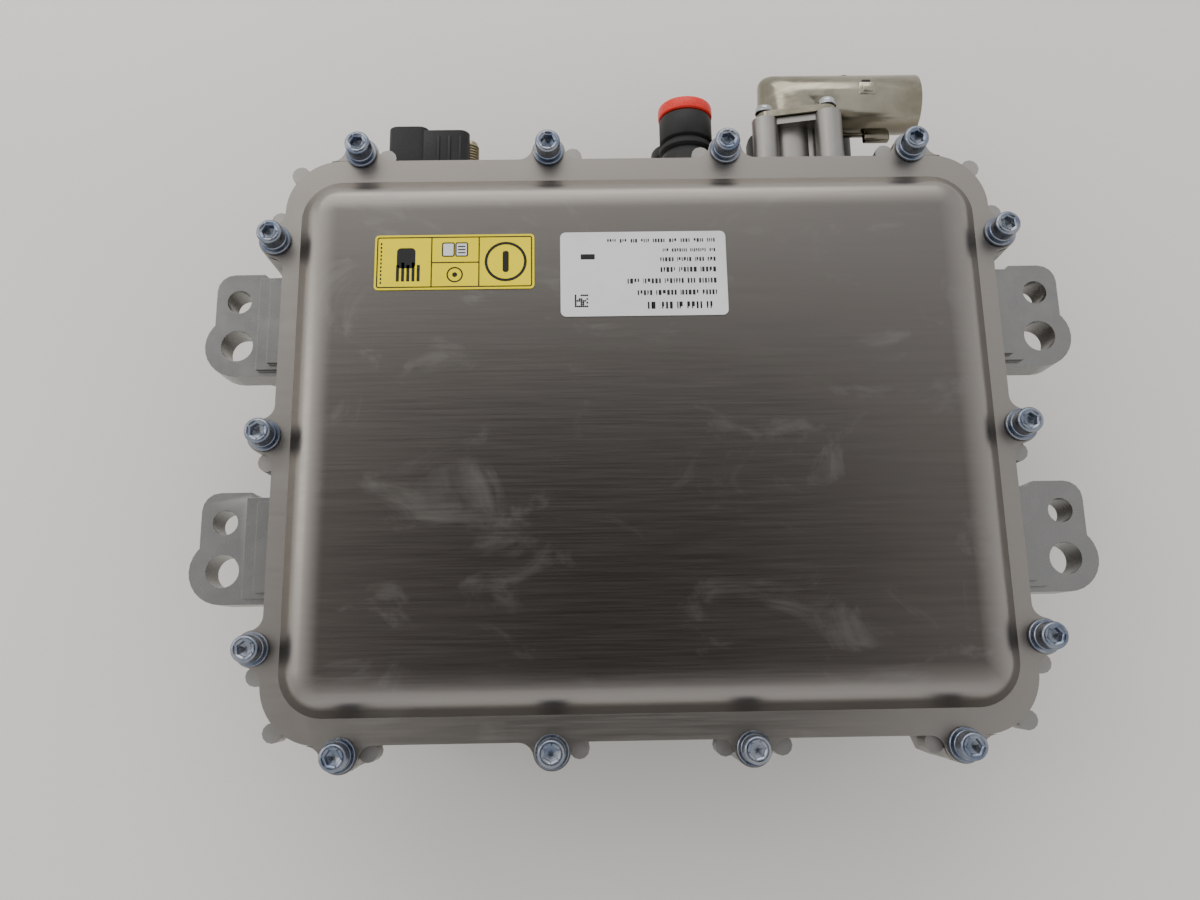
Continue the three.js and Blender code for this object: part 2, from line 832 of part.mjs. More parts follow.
function coverScrew(seat) {
  const seatZ = coverTop + gap;
  const springZ = seatZ + washerThickness;
  const headZ = springZ + washerThickness;
  const top = headZ + screwHeadHeight;
  const profile = [
    [0, casingHeight - screwShankLength],
    [screwShankRadius, casingHeight - screwShankLength],
    [screwShankRadius, seatZ],
    [plainWasherRadius, seatZ],
    [plainWasherRadius, springZ],
    [springWasherRadius, springZ],
    [springWasherRadius, headZ],
    [screwHeadRadius, headZ],
    [screwHeadRadius, top - 0.7],
    [screwHeadRadius - 0.7, top],
    [0, top],
  ];
  const socket = new THREE.CylinderGeometry(
    socketFlats / Math.sqrt(3),
    socketFlats / Math.sqrt(3),
    2 * socketDepth,
    6,
  );
  const body = turnedZ(profile, seat.x, seat.y, 12);
  return cut(body, solid(socket.rotateX(Math.PI / 2).translate(seat.x, seat.y, top)));
}

// ---------------------------------------------------------------- coolant ports

// The metal pipe pressed into the casing. The rubber boot slides over its end.
function portPipe(x, z, tip) {
  const start = wallY - 2 + gap;
  const end = tip - plugSpigot;
  const profile = [
    [boreRadius, start],
    [pipeRadius, start],
    [pipeRadius, end - 1],
    [pipeRadius - 1, end],
    [boreRadius, end],
    [boreRadius, start],
  ];
  return turnedY(profile, x, z, 24);
}

function portBoot(x, z, tip) {
  const start = wallY + portPad + gap;
  const bore = pipeRadius + gap;
  const body = tip - bootBodyLength;
  const profile = [
    [bore, start],
    [bootSkirtRadius, start],
    [bootSkirtRadius, body - 9],
    [bootRadius - 2.2, body - 4],
    [bootRadius, body],
    [bootRadius, tip - 0.8],
    [bootRadius - 0.8, tip],
    [bore, tip],
    [bore, start],
  ];
  return turnedY(profile, x, z, 28);
}

function portPlug(x, z, tip) {
  const rim = tip + gap;
  const profile = [
    [0, tip - plugSpigot + 1],
    [pipeRadius - 2.2, tip - plugSpigot + 1],
    [pipeRadius, tip - plugSpigot + 3],
    [pipeRadius, rim],
    [plugRadius, rim],
    [plugRadius, rim + plugRim - 0.8],
    [plugRadius - 0.8, rim + plugRim],
    [0, rim + plugRim],
  ];
  return turnedY(profile, x, z, 28);
}

// ---------------------------------------------------------------- high-voltage elbow

function elbowShell() {
  const start = elbowFlangeY + gap;
  const inner = elbowRadius - elbowWall;
  const ears = ductBolts.map((bolt) => rodY(
    bolt.x,
    bolt.z,
    ductBossRadius,
    start,
    start + elbowFlangeThickness,
    16,
  ));
  const outside = join(
    ductPlate(3, 4, start, start + elbowFlangeThickness),
    ...ears,
    rodY(elbowX, elbowZ, elbowRadius, start, elbowAxisY, 28),
    ball(elbowX, elbowAxisY, elbowZ, elbowRadius),
    rodX(elbowAxisY, elbowZ, elbowRadius, elbowX, elbowEnd, 28),
    block(elbowX + 35, elbowX + 46, elbowAxisY - 16.5, elbowAxisY - 9, elbowZ - 4, elbowZ - 1),
  );
  return cut(
    outside,
    rodY(elbowX, elbowZ, inner, start - 1, elbowAxisY, 24),
    ball(elbowX, elbowAxisY, elbowZ, inner),
    rodX(elbowAxisY, elbowZ, inner, elbowX, elbowEnd + 1, 24),
    ...ductBolts.map((bolt) => rodY(
      bolt.x,
      bolt.z,
      elbowScrewRadius + gap,
      start - 1,
      start + elbowFlangeThickness + 1,
      12,
    )),
  );
}

function elbowInsert() {
  const fit = elbowRadius - elbowWall - gap;
  const pins = [-4.5, 4.5].map((y) => rodX(elbowAxisY + y, elbowZ, 2, elbowEnd - 22, elbowEnd - 9, 12));
  return join(rodX(elbowAxisY, elbowZ, fit, elbowEnd - 34, elbowEnd - 20, 24), ...pins);
}

function elbowScrew(bolt) {
  const seat = elbowFlangeY + 2 * gap + elbowFlangeThickness;
  const profile = [
    [0, elbowFlangeY - 10],
    [elbowScrewRadius, elbowFlangeY - 10],
    [elbowScrewRadius, seat],
    [elbowScrewHead, seat],
    [elbowScrewHead, seat + 2],
    [elbowScrewHead - 1, seat + 3.2],
    [0, seat + 3.4],
  ];
  return turnedY(profile, bolt.x, bolt.z, 12);
}

// ---------------------------------------------------------------- plastic connectors

function motorShroud() {
  const start = wallY + plinthStep + gap;
  const centre = [motorX, motorZ];
  const outer = roundedRect(motorWidth, motorHeight, motorCornerRadius, ...centre);
  const inner = roundedRect(
    motorWidth - 2 * motorWall,
    motorHeight - 2 * motorWall,
    motorCornerRadius - motorWall,
    ...centre,
  );
  const window = motorWindow.halfWidth - 0.5;
  return cut(
    plateY(outer, start, motorTip),
    plateY(inner, start + 14, motorTip + 1),
    block(motorX - window, motorX + window, start - 1, start + 15, motorZ - 7.5, motorZ + 7.5),
  );
}

// The block that holds the three phase contacts apart in the motor connector.
function motorContactBlock() {
  const start = cavityY + gap;
  const halfX = motorWindow.halfWidth - 0.5 - gap;
  const halfZ = 7.5 - gap;
  const slots = [-1, 0, 1].map((k) => {
    const x = motorX + k * phaseSpacing;
    const half = phaseWidth / 2 + gap;
    return block(x - half, x + half, start - 1, wallY + 25, motorZ - 1 - gap, motorZ + 1 + gap);
  });
  return cut(
    block(motorX - halfX, motorX + halfX, start, wallY + 22, motorZ - halfZ, motorZ + halfZ),
    ...slots,
  );
}

function signalShell() {
  const start = wallY + gap;
  const inner = roundedRect(signalWidth - 2 * signalWall - 1, signalHeight - 2 * signalWall, 3, signalX, signalZ);
  const outer = roundedRect(signalWidth, signalHeight, 4, signalX, signalZ);
  const collar = roundedRect(
    signalCollar,
    signalHeight + 1.2,
    4,
    signalX - (signalWidth - signalCollar) / 2 - gap / 2,
    signalZ,
  );
  const windowX = signalWindow.halfWidth - 2;
  const windowZ = signalWindow.halfHeight - 1;
  return cut(
    join(plateY(outer, start, signalTip), plateY(collar, start, signalTip + 1.5)),
    plateY(inner, start + 4, signalTip + 3),
    block(
      signalX - windowX,
      signalX + windowX,
      start - 1,
      start + 5,
      signalZ - windowZ,
      signalZ + windowZ,
    ),
    rodY(studX, studZ, studRadius + 0.8, start - 1, signalTip + 3, 20),
  );
}

function signalPins() {
  const halfX = signalWindow.halfWidth - 2 - gap;
  const halfZ = signalWindow.halfHeight - 1 - gap;
  const parts = [block(signalX - halfX, signalX + halfX, cavityY - 6, wallY + 9, signalZ - halfZ, signalZ + halfZ)];
  for (const dz of [-4, 4]) {
    for (const dx of [-7.5, -4.5, -1.5, 1.5, 4.5, 7.5]) {
      const x = signalX + dx;
      const z = signalZ + dz;
      parts.push(block(x - 0.5, x + 0.5, wallY + 8, wallY + 17, z - 0.5, z + 0.5));
    }
  }
  return join(...parts);
}

function earthStud() {
  const profile = [
    [0, wallY - 3.4],
    [studRadius, wallY - 3.4],
    [studRadius, studTip - 1],
    [studRadius - 1, studTip],
    [0, studTip],
  ];
  return turnedY(profile, studX, studZ, 16);
}

function ventPlug() {
  const face = -wallY - gap;
  const profile = [
    [0, face - 5.5],
    [ventRadius - 1.5, face - 5.5],
    [ventRadius, face - 4],
    [ventRadius, face - 0.8],
    [4, face - 0.8],
    [4, -cavityY - 1],
    [0, -cavityY - 1],
  ];
  return turnedY(profile, ventX, ventZ, 20);
}

function label({ x, y, length, width }, radius) {
  const outline = roundedRect(length, width, radius, x, y);
  return plate(outline, panelTop + gap, panelTop + gap + labelThickness, 2);
}

// ---------------------------------------------------------------- power stage

const modulePitch = (2 * (driverPostX - postRadius - 1)) / 3;

function powerModule(index) {
  const x = (index - 1) * modulePitch;
  const half = modulePitch / 2 - 2;
  const z0 = floorTop + gap;
  const base = block(x - half, x + half, moduleFront, moduleBack, z0, z0 + 4);
  const lid = block(x - half + 3, x + half - 3, moduleFront + 4, moduleBack - 4, z0 + 3, moduleTop);
  return join(base, lid);
}

function driverBoard() {
  return block(
    -driverBoardX,
    driverBoardX,
    moduleFront - 2,
    moduleBack + 2,
    driverZ,
    driverZ + boardThickness,
  );
}

function shieldPlate() {
  return block(-shieldX, shieldX, moduleFront - 2, moduleBack + 2, shieldZ, shieldZ + 1.2);
}

function controlBoard() {
  const edgeX = cavityX - 3.5;
  const edgeY = cavityY - 9.5;
  return plate(roundedRect(2 * edgeX, 2 * edgeY, 6), controlZ, controlZ + boardThickness, 2);
}

const capacitorEndX = cavityX - 44.5;

function linkCapacitor() {
  const centre = (capacitorFront + capacitorBack) / 2;
  const outline = roundedRect(2 * capacitorEndX, capacitorWidth, 8, 0, centre);
  return plate(outline, floorTop + gap, controlZ - 6, 2);
}

// A direct-current bar: in through the duct, across behind the modules, then along the wall to the
// capacitor's end.
function directBar(z) {
  const half = busbarWidth / 2;
  const laneX = cavityX - 20.5;
  const laneY = cavityY - 44;
  const capacitorY = (capacitorFront + capacitorBack) / 2;
  const top = z + busbarThickness;
  return join(
    block(elbowX - half, elbowX + half, laneY - half, elbowFlangeY - 6, z, top),
    block(elbowX - half, laneX + half, laneY - half, laneY + half, z, top),
    block(laneX - half, laneX + half, capacitorY - half, laneY + half, z, top),
    block(capacitorEndX + gap, laneX + half, capacitorY - half, capacitorY + half, z, top),
  );
}

// A phase bar: from its module back, sideways in its own lane, back again, then down into the well
// and out through the motor connector.
function phaseBar(index) {
  const half = phaseWidth / 2;
  const from = (index - 1) * modulePitch;
  const to = motorX + (index - 1) * phaseSpacing;
  const lane = laneStart + 4 + (2 - index) * 12;
  const level = floorTop + 10;
  const top = level + busbarThickness;
  const dropY = cavityY - 13;
  const outZ = motorZ - busbarThickness / 2;
  return join(
    block(from - half, from + half, moduleBack + gap, lane + half, level, top),
    block(Math.min(from, to) - half, Math.max(from, to) + half, lane - half, lane + half, level, top),
    block(to - half, to + half, lane - half, dropY, level, top),
    block(to - half, to + half, dropY - busbarThickness, dropY, outZ, top),
    block(to - half, to + half, dropY - busbarThickness, wallY + 36, outZ, outZ + busbarThickness),
  );
}

function currentSensor() {
  const x0 = motorX - phaseSpacing - phaseWidth / 2 - 3.5;
  const x1 = motorX + phaseSpacing + phaseWidth / 2 + 3.5;
  const y0 = cavityY - 24;
  const level = floorTop + 10;
  const windows = [-1, 0, 1].map((k) => {
    const x = motorX + k * phaseSpacing;
    const half = phaseWidth / 2 + gap;
    return block(x - half, x + half, y0 - 1, y0 + 9, level - gap, level + busbarThickness + gap);
  });
  return cut(block(x0, x1, y0, y0 + 8, floorTop + gap + 1, level + 8), ...windows);
}

const lowerBarZ = elbowZ - 4;
const upperBarZ = elbowZ + 3;

function filterCore() {
  const half = busbarWidth / 2;
  const y0 = cavityY - 37.5;
  return cut(
    block(elbowX - half - 7, elbowX + half + 7, y0, y0 + 12, lowerBarZ - 4.5, upperBarZ + busbarThickness + 4.5),
    block(
      elbowX - half - 1.5,
      elbowX + half + 1.5,
      y0 - 1,
      y0 + 13,
      lowerBarZ - 1.5,
      upperBarZ + busbarThickness + 1.5,
    ),
  );
}

function dischargeResistor() {
  const x1 = -shieldX - 3;
  const x0 = x1 - 13;
  const z0 = floorTop + gap;
  const half = 24;
  const grooves = [-16, -8, 0, 8, 16].map((y) => block(x0 - 1, x1 + 1, y - 1, y + 1, z0 + 9, z0 + 16));
  return cut(block(x0, x1, -half, half, z0, z0 + 14), ...grooves);
}

// ---------------------------------------------------------------- assembly

add("casing", casing(), castAluminium);
add("casing_floor", casingFloor(), castAluminium);
lugY.forEach((y, i) => {
  const place = ["back", "front"][i];
  add(`lug_right_${place}`, lug(y), castAluminium);
  add(`lug_left_${place}`, lug(y).mirror([1, 0, 0]), castAluminium);
});
add("coolant_plate", coolantPlate(), castAluminium);
add("cover_gasket", coverGasket(), sealant);
add("top_cover", topCover(), brushedSteel);
screwSeats.forEach((seat, i) => {
  add(`cover_screw_${String(i + 1).padStart(2, "0")}`, coverScrew(seat), zincSteel);
});
add("warning_label", label(warningLabel, 1.5), yellowFilm);
add("rating_label", label(ratingLabel, 2), whiteFilm);

add("outlet_pipe", portPipe(outletX, outletZ, outletTip), castAluminium);
add("outlet_boot", portBoot(outletX, outletZ, outletTip), blackRubber);
add("outlet_plug", portPlug(outletX, outletZ, outletTip), redPlastic);
add("inlet_pipe", portPipe(inletX, inletZ, inletTip), castAluminium);
add("inlet_boot", portBoot(inletX, inletZ, inletTip), blackRubber);
add("inlet_plug", portPlug(inletX, inletZ, inletTip), blackPlastic);

add("elbow_shell", elbowShell(), nickelPlate);
add("elbow_insert", elbowInsert(), blackPlastic);
ductBolts.forEach((bolt, i) => {
  add(`elbow_screw_${i + 1}`, elbowScrew(bolt), zincSteel);
});

add("motor_connector", motorShroud(), blackPlastic);
add("motor_contact_block", motorContactBlock(), greyPlastic);
add("signal_connector", signalShell(), blackPlastic);
add("signal_pins", signalPins(), greyPlastic);
add("earth_stud", earthStud(), brassPlate);
add("vent_plug", ventPlug(), blackPlastic);

["u", "v", "w"].forEach((phase, i) => {
  add(`power_module_${phase}`, powerModule(i), greyPlastic);
  add(`phase_bar_${phase}`, phaseBar(i), copper);
});
add("driver_board", driverBoard(), circuitBoard);
add("shield_plate", shieldPlate(), brushedSteel);
add("control_board", controlBoard(), circuitBoard);
add("link_capacitor", linkCapacitor(), greyPlastic);
add("negative_bar", directBar(lowerBarZ), copper);
add("positive_bar", directBar(upperBarZ), copper);
add("current_sensor", currentSensor(), blackPlastic);
add("filter_core", filterCore(), ferrite);
add("discharge_resistor", dischargeResistor(), castAluminium);

export default group;
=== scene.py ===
"""A sealed power inverter: the finished look, built round its solid frame.

Pieces are shaped in millimetres and scaled to metres as they are finished.
"""

import math
import random

import bmesh
import bpy
from mathutils import Matrix, Vector


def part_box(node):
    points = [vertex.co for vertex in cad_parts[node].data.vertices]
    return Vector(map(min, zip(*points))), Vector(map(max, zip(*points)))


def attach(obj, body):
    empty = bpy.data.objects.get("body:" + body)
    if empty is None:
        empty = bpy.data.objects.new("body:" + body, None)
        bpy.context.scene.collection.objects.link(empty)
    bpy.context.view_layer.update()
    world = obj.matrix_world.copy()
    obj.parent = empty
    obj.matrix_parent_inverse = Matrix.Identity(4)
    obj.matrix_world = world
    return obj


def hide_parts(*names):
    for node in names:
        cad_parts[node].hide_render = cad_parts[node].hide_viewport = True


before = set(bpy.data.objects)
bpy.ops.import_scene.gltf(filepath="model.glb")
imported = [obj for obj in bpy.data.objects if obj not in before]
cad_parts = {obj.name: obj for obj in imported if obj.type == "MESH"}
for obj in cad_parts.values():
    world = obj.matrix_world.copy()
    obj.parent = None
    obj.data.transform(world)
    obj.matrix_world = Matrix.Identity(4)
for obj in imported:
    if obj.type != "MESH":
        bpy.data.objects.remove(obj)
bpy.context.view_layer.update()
scene = bpy.context.scene
MM = 0.001

# ---------------------------------------------------------------- sizes, in millimetres

COVER_HALF = (141.6, 114.1)
COVER_CORNER = 22
COVER_LOW = 86.2
COVER_TOP = 88.0
PANEL_TOP = 96.0
DOME_HALF = (132.0, 101.6)
DOME_CORNER = 13.6
SLOPE_RUN = 6.6
SLOPE_TOP = 95.0
PANEL_RUN = 6.0
EAR_RADIUS = 6.8
EAR_OFFSET = 3.2
EAR_FILLET = 5.5
HOLE_RADIUS = 3.4
SCREWS_ALONG = (-112.0, -36.1, 36.1, 112.0)
SCREWS_ACROSS = (-79.7, 0.0, 79.7)
PANEL_HALF = tuple(half - SLOPE_RUN - PANEL_RUN for half in DOME_HALF)
LABEL_LOW = PANEL_TOP + 0.1
WARNING_BOX = (-103.4, -41.5, 55.0, 77.6)  # x from, x to, y from, y to
RATING_BOX = (-31.4, 33.2, 43.3, 78.0)

ELBOW_X = 71.2
ELBOW_Z = 51.0
ELBOW_RADIUS = 13.0
ELBOW_WALL = 2.0
ELBOW_FLANGE = (145.3, 148.3)
ELBOW_TUBE_Y = 159.5
ELBOW_END = 129.0
DUCT_MIDDLE = (74.4, 51.5)
DUCT_TILT = math.radians(12)
DUCT_BOLTS = ((-13.5, 14.0), (13.5, 14.0), (-13.5, -14.0))

PORTS = (("outlet", 24.5, 50.0, 153.0), ("inlet", 23.2, 18.0, 149.0))  # name, x, z and the boot's tip in y
PORT_FOOT = 111.3
STUD = (-71.0, 65.0)  # x and z
VENT = (-74.0, 48.0)
MOTOR = (58.45, 107.95, 4.0, 28.4)  # x from, x to, z from, z to
SIGNAL = (-104.5, -70.5, 46.0, 74.0)
BOARD_TOP = 73.6
LUGS = ("lug_right_back", "lug_left_back", "lug_right_front", "lug_left_front")
WALL_X = 134.8

random.seed(7)

# ---------------------------------------------------------------- material nodes


class Finish:
    """A material and its nodes, with short ways to lay texture over a surface."""

    def __init__(self, name, colour, roughness, metallic=0.0, **sockets):
        self.material = bpy.data.materials.new(name)
        self.material.use_nodes = True
        self.tree = self.material.node_tree
        self.shader = self.tree.nodes["Principled BSDF"]
        self.place = self.add("ShaderNodeTexCoord").outputs["Object"]
        self.bump = None
        self.put("Base Color", (*colour, 1))
        self.put("Roughness", roughness)
        self.put("Metallic", metallic)
        for socket, value in sockets.items():
            self.put(socket.replace("_", " "), value)

    def add(self, kind, **settings):
        node = self.tree.nodes.new(kind)
        for key, value in settings.items():
            setattr(node, key, value)
        return node

    def link(self, output, socket):
        self.tree.links.new(output, socket)

    def put(self, socket, value):
        target = self.shader.inputs[socket]
        if isinstance(value, bpy.types.NodeSocket):
            self.link(value, target)
        else:
            target.default_value = value

    def stretched_place(self, stretch):
        mapping = self.add("ShaderNodeMapping")
        mapping.inputs["Scale"].default_value = stretch
        self.link(self.place, mapping.inputs["Vector"])
        return mapping.outputs["Vector"]

    def noise(self, scale, detail=3.0, stretch=(1, 1, 1), roughness=0.5, distortion=0.0):
        texture = self.add("ShaderNodeTexNoise")
        texture.inputs["Scale"].default_value = scale
        texture.inputs["Detail"].default_value = detail
        texture.inputs["Roughness"].default_value = roughness
        texture.inputs["Distortion"].default_value = distortion
        self.link(self.stretched_place(stretch), texture.inputs["Vector"])
        return texture.outputs["Fac"]

    def spots(self, scale, stretch):
        texture = self.add("ShaderNodeTexVoronoi")
        texture.inputs["Scale"].default_value = scale
        self.link(self.stretched_place(stretch), texture.inputs["Vector"])
        return texture.outputs["Distance"]

    def between(self, value, low, high, out_low=0.0, out_high=1.0):
        node = self.add("ShaderNodeMapRange", clamp=True)
        ends = {"From Min": low, "From Max": high, "To Min": out_low, "To Max": out_high}
        for socket, number in ends.items():
            node.inputs[socket].default_value = number
        self.link(value, node.inputs["Value"])
        return node.outputs["Result"]

    def mix(self, amount, first, second):
        node = self.add("ShaderNodeMix", data_type="RGBA")
        for socket, value in (("A", first), ("B", second)):
            target = next(s for s in node.inputs if s.name == socket and s.type == "RGBA")
            if isinstance(value, bpy.types.NodeSocket):
                self.link(value, target)
            else:
                target.default_value = (*value, 1)
        self.link(amount, node.inputs["Factor"])
        return next(s for s in node.outputs if s.type == "RGBA")

    def combine(self, operation, first, second):
        node = self.add("ShaderNodeMath", operation=operation)
        for socket, value in zip(node.inputs, (first, second)):
            if isinstance(value, bpy.types.NodeSocket):
                self.link(value, socket)
            else:
                socket.default_value = value
        return node.outputs[0]

    def coordinate(self, axis):
        node = self.add("ShaderNodeSeparateXYZ")
        self.link(self.place, node.inputs[0])
        return node.outputs[axis]

    def relief(self, height, distance, strength=1.0):
        """Bump of that depth in millimetres, laid over any bump already there."""
        node = self.add("ShaderNodeBump")
        node.inputs["Strength"].default_value = strength
        node.inputs["Distance"].default_value = distance * MM
        self.link(height, node.inputs["Height"])
        if self.bump is not None:
            self.link(self.bump, node.inputs["Normal"])
        self.bump = node.outputs["Normal"]
        self.link(self.bump, self.shader.inputs["Normal"])


def brushed_cover():
    """Brushed sheet, darkest on the panel's front, with painted reflection making it paler towards the back
    and past the panel's edge.
    """
    f = Finish("brushed_cover", (0.2, 0.18, 0.165), 0.34, 1.0)
    streaks = f.noise(420, 4, (0.035, 1, 0.3), 0.65)
    fine = f.noise(1500, 2, (0.02, 1, 0.3), 0.6)
    smudge = f.noise(26, 6, (1, 1.3, 1), 0.64, 1.1)
    # painted reflection: the rim past the panel's edge is made paler
    past_end = f.combine("SUBTRACT", f.combine("ABSOLUTE", f.coordinate("X"), 0), PANEL_HALF[0] * MM)
    past_side = f.combine("SUBTRACT", f.combine("ABSOLUTE", f.coordinate("Y"), 0), PANEL_HALF[1] * MM)
    painted_rim_reflection = f.between(f.combine("MAXIMUM", past_end, past_side), -0.001, 0.0095)
    # painted reflection: the sheet grows paler towards the back
    back = f.between(f.coordinate("Y"), -0.05, 0.12)
    tone = f.mix(streaks, (0.088, 0.077, 0.068), (0.145, 0.129, 0.115))
    tone = f.mix(back, tone, (0.185, 0.172, 0.158))
    tone = f.mix(painted_rim_reflection, tone, (0.29, 0.266, 0.24))
    haze = f.between(smudge, 0.55, 0.74, 0.0, 0.3)
    f.put("Base Color", f.mix(haze, tone, (0.31, 0.3, 0.28)))
    rough = f.between(fine, 0.2, 0.8, 0.3, 0.42)
    f.put("Roughness", f.combine("ADD", rough, f.between(haze, 0, 0.3, 0.0, 0.08)))
    f.relief(streaks, 0.012, 0.6)
    f.relief(fine, 0.006, 0.6)
    return f.material


def cast_metal(name, colour, roughness, grain=0.05, uneven=0.28):
    f = Finish(name, colour, roughness, 1.0)
    pits = f.noise(900, 3, (1, 1, 1), 0.6)
    lumps = f.noise(90, 4, (1, 1, 1), 0.55)
    stain = f.noise(22, 4, (1, 1, 1), 0.6, 0.5)
    dark = tuple((1 - uneven) * c for c in colour)
    light = tuple(min(1.0, (1 + 0.65 * uneven) * c) for c in colour)
    tone = f.mix(f.between(lumps, 0.3, 0.7), dark, light)
    f.put("Base Color", f.mix(f.between(stain, 0.45, 0.7), tone, tuple(0.93 * c for c in colour)))
    f.put("Roughness", f.between(lumps, 0.3, 0.7, roughness - 0.3 * uneven, roughness + 0.35 * uneven))
    f.relief(lumps, 0.4 * uneven, 0.35)
    f.relief(pits, grain, 0.5)
    return f.material


def zinc():
    f = Finish("blue_zinc", (0.2, 0.235, 0.31), 0.3, 1.0)
    tint = f.noise(160, 3)
    f.put("Base Color", f.mix(f.between(tint, 0.35, 0.65), (0.14, 0.17, 0.235), (0.29, 0.305, 0.335)))
    f.put("Roughness", f.between(f.noise(700, 2), 0.3, 0.7, 0.22, 0.38))
    f.relief(f.noise(1600, 2), 0.01, 0.5)
    return f.material


def nickel():
    f = Finish("cream_nickel", (0.5, 0.47, 0.39), 0.2, 1.0)
    tint = f.noise(70, 4, (0.5, 1, 1), 0.6, 0.6)
    tone = f.mix(f.between(tint, 0.35, 0.68), (0.21, 0.188, 0.136), (0.38, 0.35, 0.272))
    # painted shade and highlight: the elbow is darker below 50 mm height and keeps its lighter tone towards
    # the top
    above = f.between(f.coordinate("Z"), 0.05, 0.0645)
    f.put("Base Color", f.mix(above, (0.2, 0.182, 0.138), tone))
    f.put("Roughness", f.between(f.noise(240, 4), 0.3, 0.7, 0.14, 0.24))
    f.relief(f.noise(120, 3), 0.05, 0.35)
    return f.material


def plastic(name, colour, roughness, grain=0.03):
    f = Finish(name, colour, roughness, Specular_IOR_Level=0.3)
    speckle = f.noise(1400, 2)
    f.put("Base Color", f.mix(f.between(speckle, 0.4, 0.7), colour, tuple(1.3 * c + 0.002 for c in colour)))
    f.put("Roughness", f.between(f.noise(60, 3), 0.3, 0.7, roughness - 0.07, roughness + 0.1))
    f.relief(speckle, grain, 0.4)
    return f.material


def copper():
    f = Finish("copper_bar", (0.62, 0.31, 0.19), 0.3, 1.0)
    tint = f.noise(80, 3, (1, 1, 1), 0.6, 0.4)
    f.put("Base Color", f.mix(f.between(tint, 0.35, 0.7), (0.5, 0.23, 0.13), (0.7, 0.4, 0.27)))
    f.put("Roughness", f.between(f.noise(500, 3, (0.1, 1, 1)), 0.3, 0.7, 0.22, 0.38))
    f.relief(f.noise(900, 2, (0.1, 1, 1)), 0.01, 0.5)
    return f.material


def board():
    f = Finish("circuit_board", (0.01, 0.1, 0.045), 0.3)
    tracks = f.between(f.spots(260, (1, 0.4, 1)), 0.42, 0.46)
    f.put("Base Color", f.mix(tracks, (0.008, 0.085, 0.04), (0.02, 0.17, 0.08)))
    f.put("Roughness", f.between(f.noise(300, 2), 0.3, 0.7, 0.22, 0.36))
    f.relief(tracks, 0.03, 0.4)
    return f.material


def film(name, colour, worn):
    f = Finish(name, colour, 0.5, Specular_IOR_Level=0.12)
    f.put("Base Color", f.mix(f.between(f.noise(35, 5, (1, 1, 1), 0.6), 0.4, 0.75), colour, worn))
    f.put("Roughness", f.between(f.noise(200, 3), 0.3, 0.7, 0.4, 0.52))
    f.relief(f.noise(500, 2), 0.01, 0.3)
    return f.material


COVER = brushed_cover()
CAST = cast_metal("cast_aluminium", (0.32, 0.305, 0.285), 0.42, 0.05, 0.14)
WORN = cast_metal("worn_aluminium", (0.24, 0.235, 0.225), 0.27, 0.012, 0.1)
ZINC = zinc()
NICKEL = nickel()
BLACK = plastic("black_plastic", (0.012, 0.012, 0.012), 0.42)
GREY = plastic("grey_plastic", (0.09, 0.095, 0.1), 0.5)
RED = plastic("red_cap", (0.72, 0.03, 0.02), 0.4)
RUBBER = plastic("black_rubber", (0.016, 0.016, 0.015), 0.55, 0.05)
SEALANT = plastic("sealant", (0.02, 0.02, 0.021), 0.6, 0.05)
FERRITE = plastic("ferrite", (0.03, 0.028, 0.028), 0.55, 0.06)
STUD_METAL = cast_metal("stud_brass", (0.36, 0.31, 0.2), 0.35, 0.01)
STEEL = cast_metal("bright_steel", (0.5, 0.51, 0.53), 0.24, 0.01)
COPPER = copper()
BOARD = board()
YELLOW = film("yellow_film", (0.98, 0.8, 0.002), (0.92, 0.74, 0.004))
WHITE = film("white_film", (0.77, 0.765, 0.755), (0.68, 0.67, 0.65))
INK = plastic("printed_ink", (0.01, 0.01, 0.01), 0.45, 0.0)

# ---------------------------------------------------------------- finishing a piece


def finish_piece(name, bm, material, body, nodes=(), bevel=0.0, segments=2, crease=32, wall=0.0):
    """Scales a millimetre mesh to metres, gives it its material and hands it to its body."""
    bm.transform(Matrix.Scale(MM, 4))
    mesh = bpy.data.meshes.new(name)
    bm.to_mesh(mesh)
    bm.free()
    mesh.shade_smooth()
    mesh.set_sharp_from_angle(angle=math.radians(crease))
    mesh.materials.append(material)
    piece = bpy.data.objects.new(name, mesh)
    scene.collection.objects.link(piece)
    if wall:
        solidify = piece.modifiers.new("wall", "SOLIDIFY")
        solidify.thickness = wall * MM
        solidify.offset = -1
        solidify.use_even_offset = True
    if bevel:
        rounding = piece.modifiers.new("soft_edges", "BEVEL")
        rounding.width = bevel * MM
        rounding.segments = segments
        rounding.limit_method = "ANGLE"
        rounding.angle_limit = math.radians(crease)
        rounding.harden_normals = True
    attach(piece, body)
    if nodes:
        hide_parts(*nodes)
    return piece


def arc(x, y, radius, start, end, steps=6):
    """Points along an arc, with its angles in degrees."""
    turns = [math.radians(start + (end - start) * i / steps) for i in range(steps + 1)]
    return [(x + radius * math.cos(t), y + radius * math.sin(t)) for t in turns]


def circle(x, y, radius, steps=32):
    return arc(x, y, radius, 0, 360, steps)[:-1]


def rounded_box(half_x, half_y, radius, x=0, y=0, steps=8):
    a = half_x - radius
    b = half_y - radius
    corners = ((a, b, 0), (-a, b, 90), (-a, -b, 180), (a, -b, 270))
    return [p for cx, cy, turn in corners for p in arc(x + cx, y + cy, radius, turn, turn + 90, steps)]


def ear(grow=0.0, steps=7):
    """An ear round a screw in its own frame: along the edge, and out from it."""
    radius = EAR_RADIUS + grow
    offset = EAR_OFFSET - grow
    fillet = EAR_FILLET - grow
    reach = math.sqrt((radius + fillet) ** 2 - (fillet - offset) ** 2)
    lean = math.degrees(math.atan2(fillet - offset, reach))
    return (
        arc(-reach, fillet, fillet, -90, -lean, steps)
        + arc(0, offset, radius, 180 - lean, lean, 2 * steps)[1:-1]
        + arc(reach, fillet, fillet, 180 + lean, 270, steps)
    )


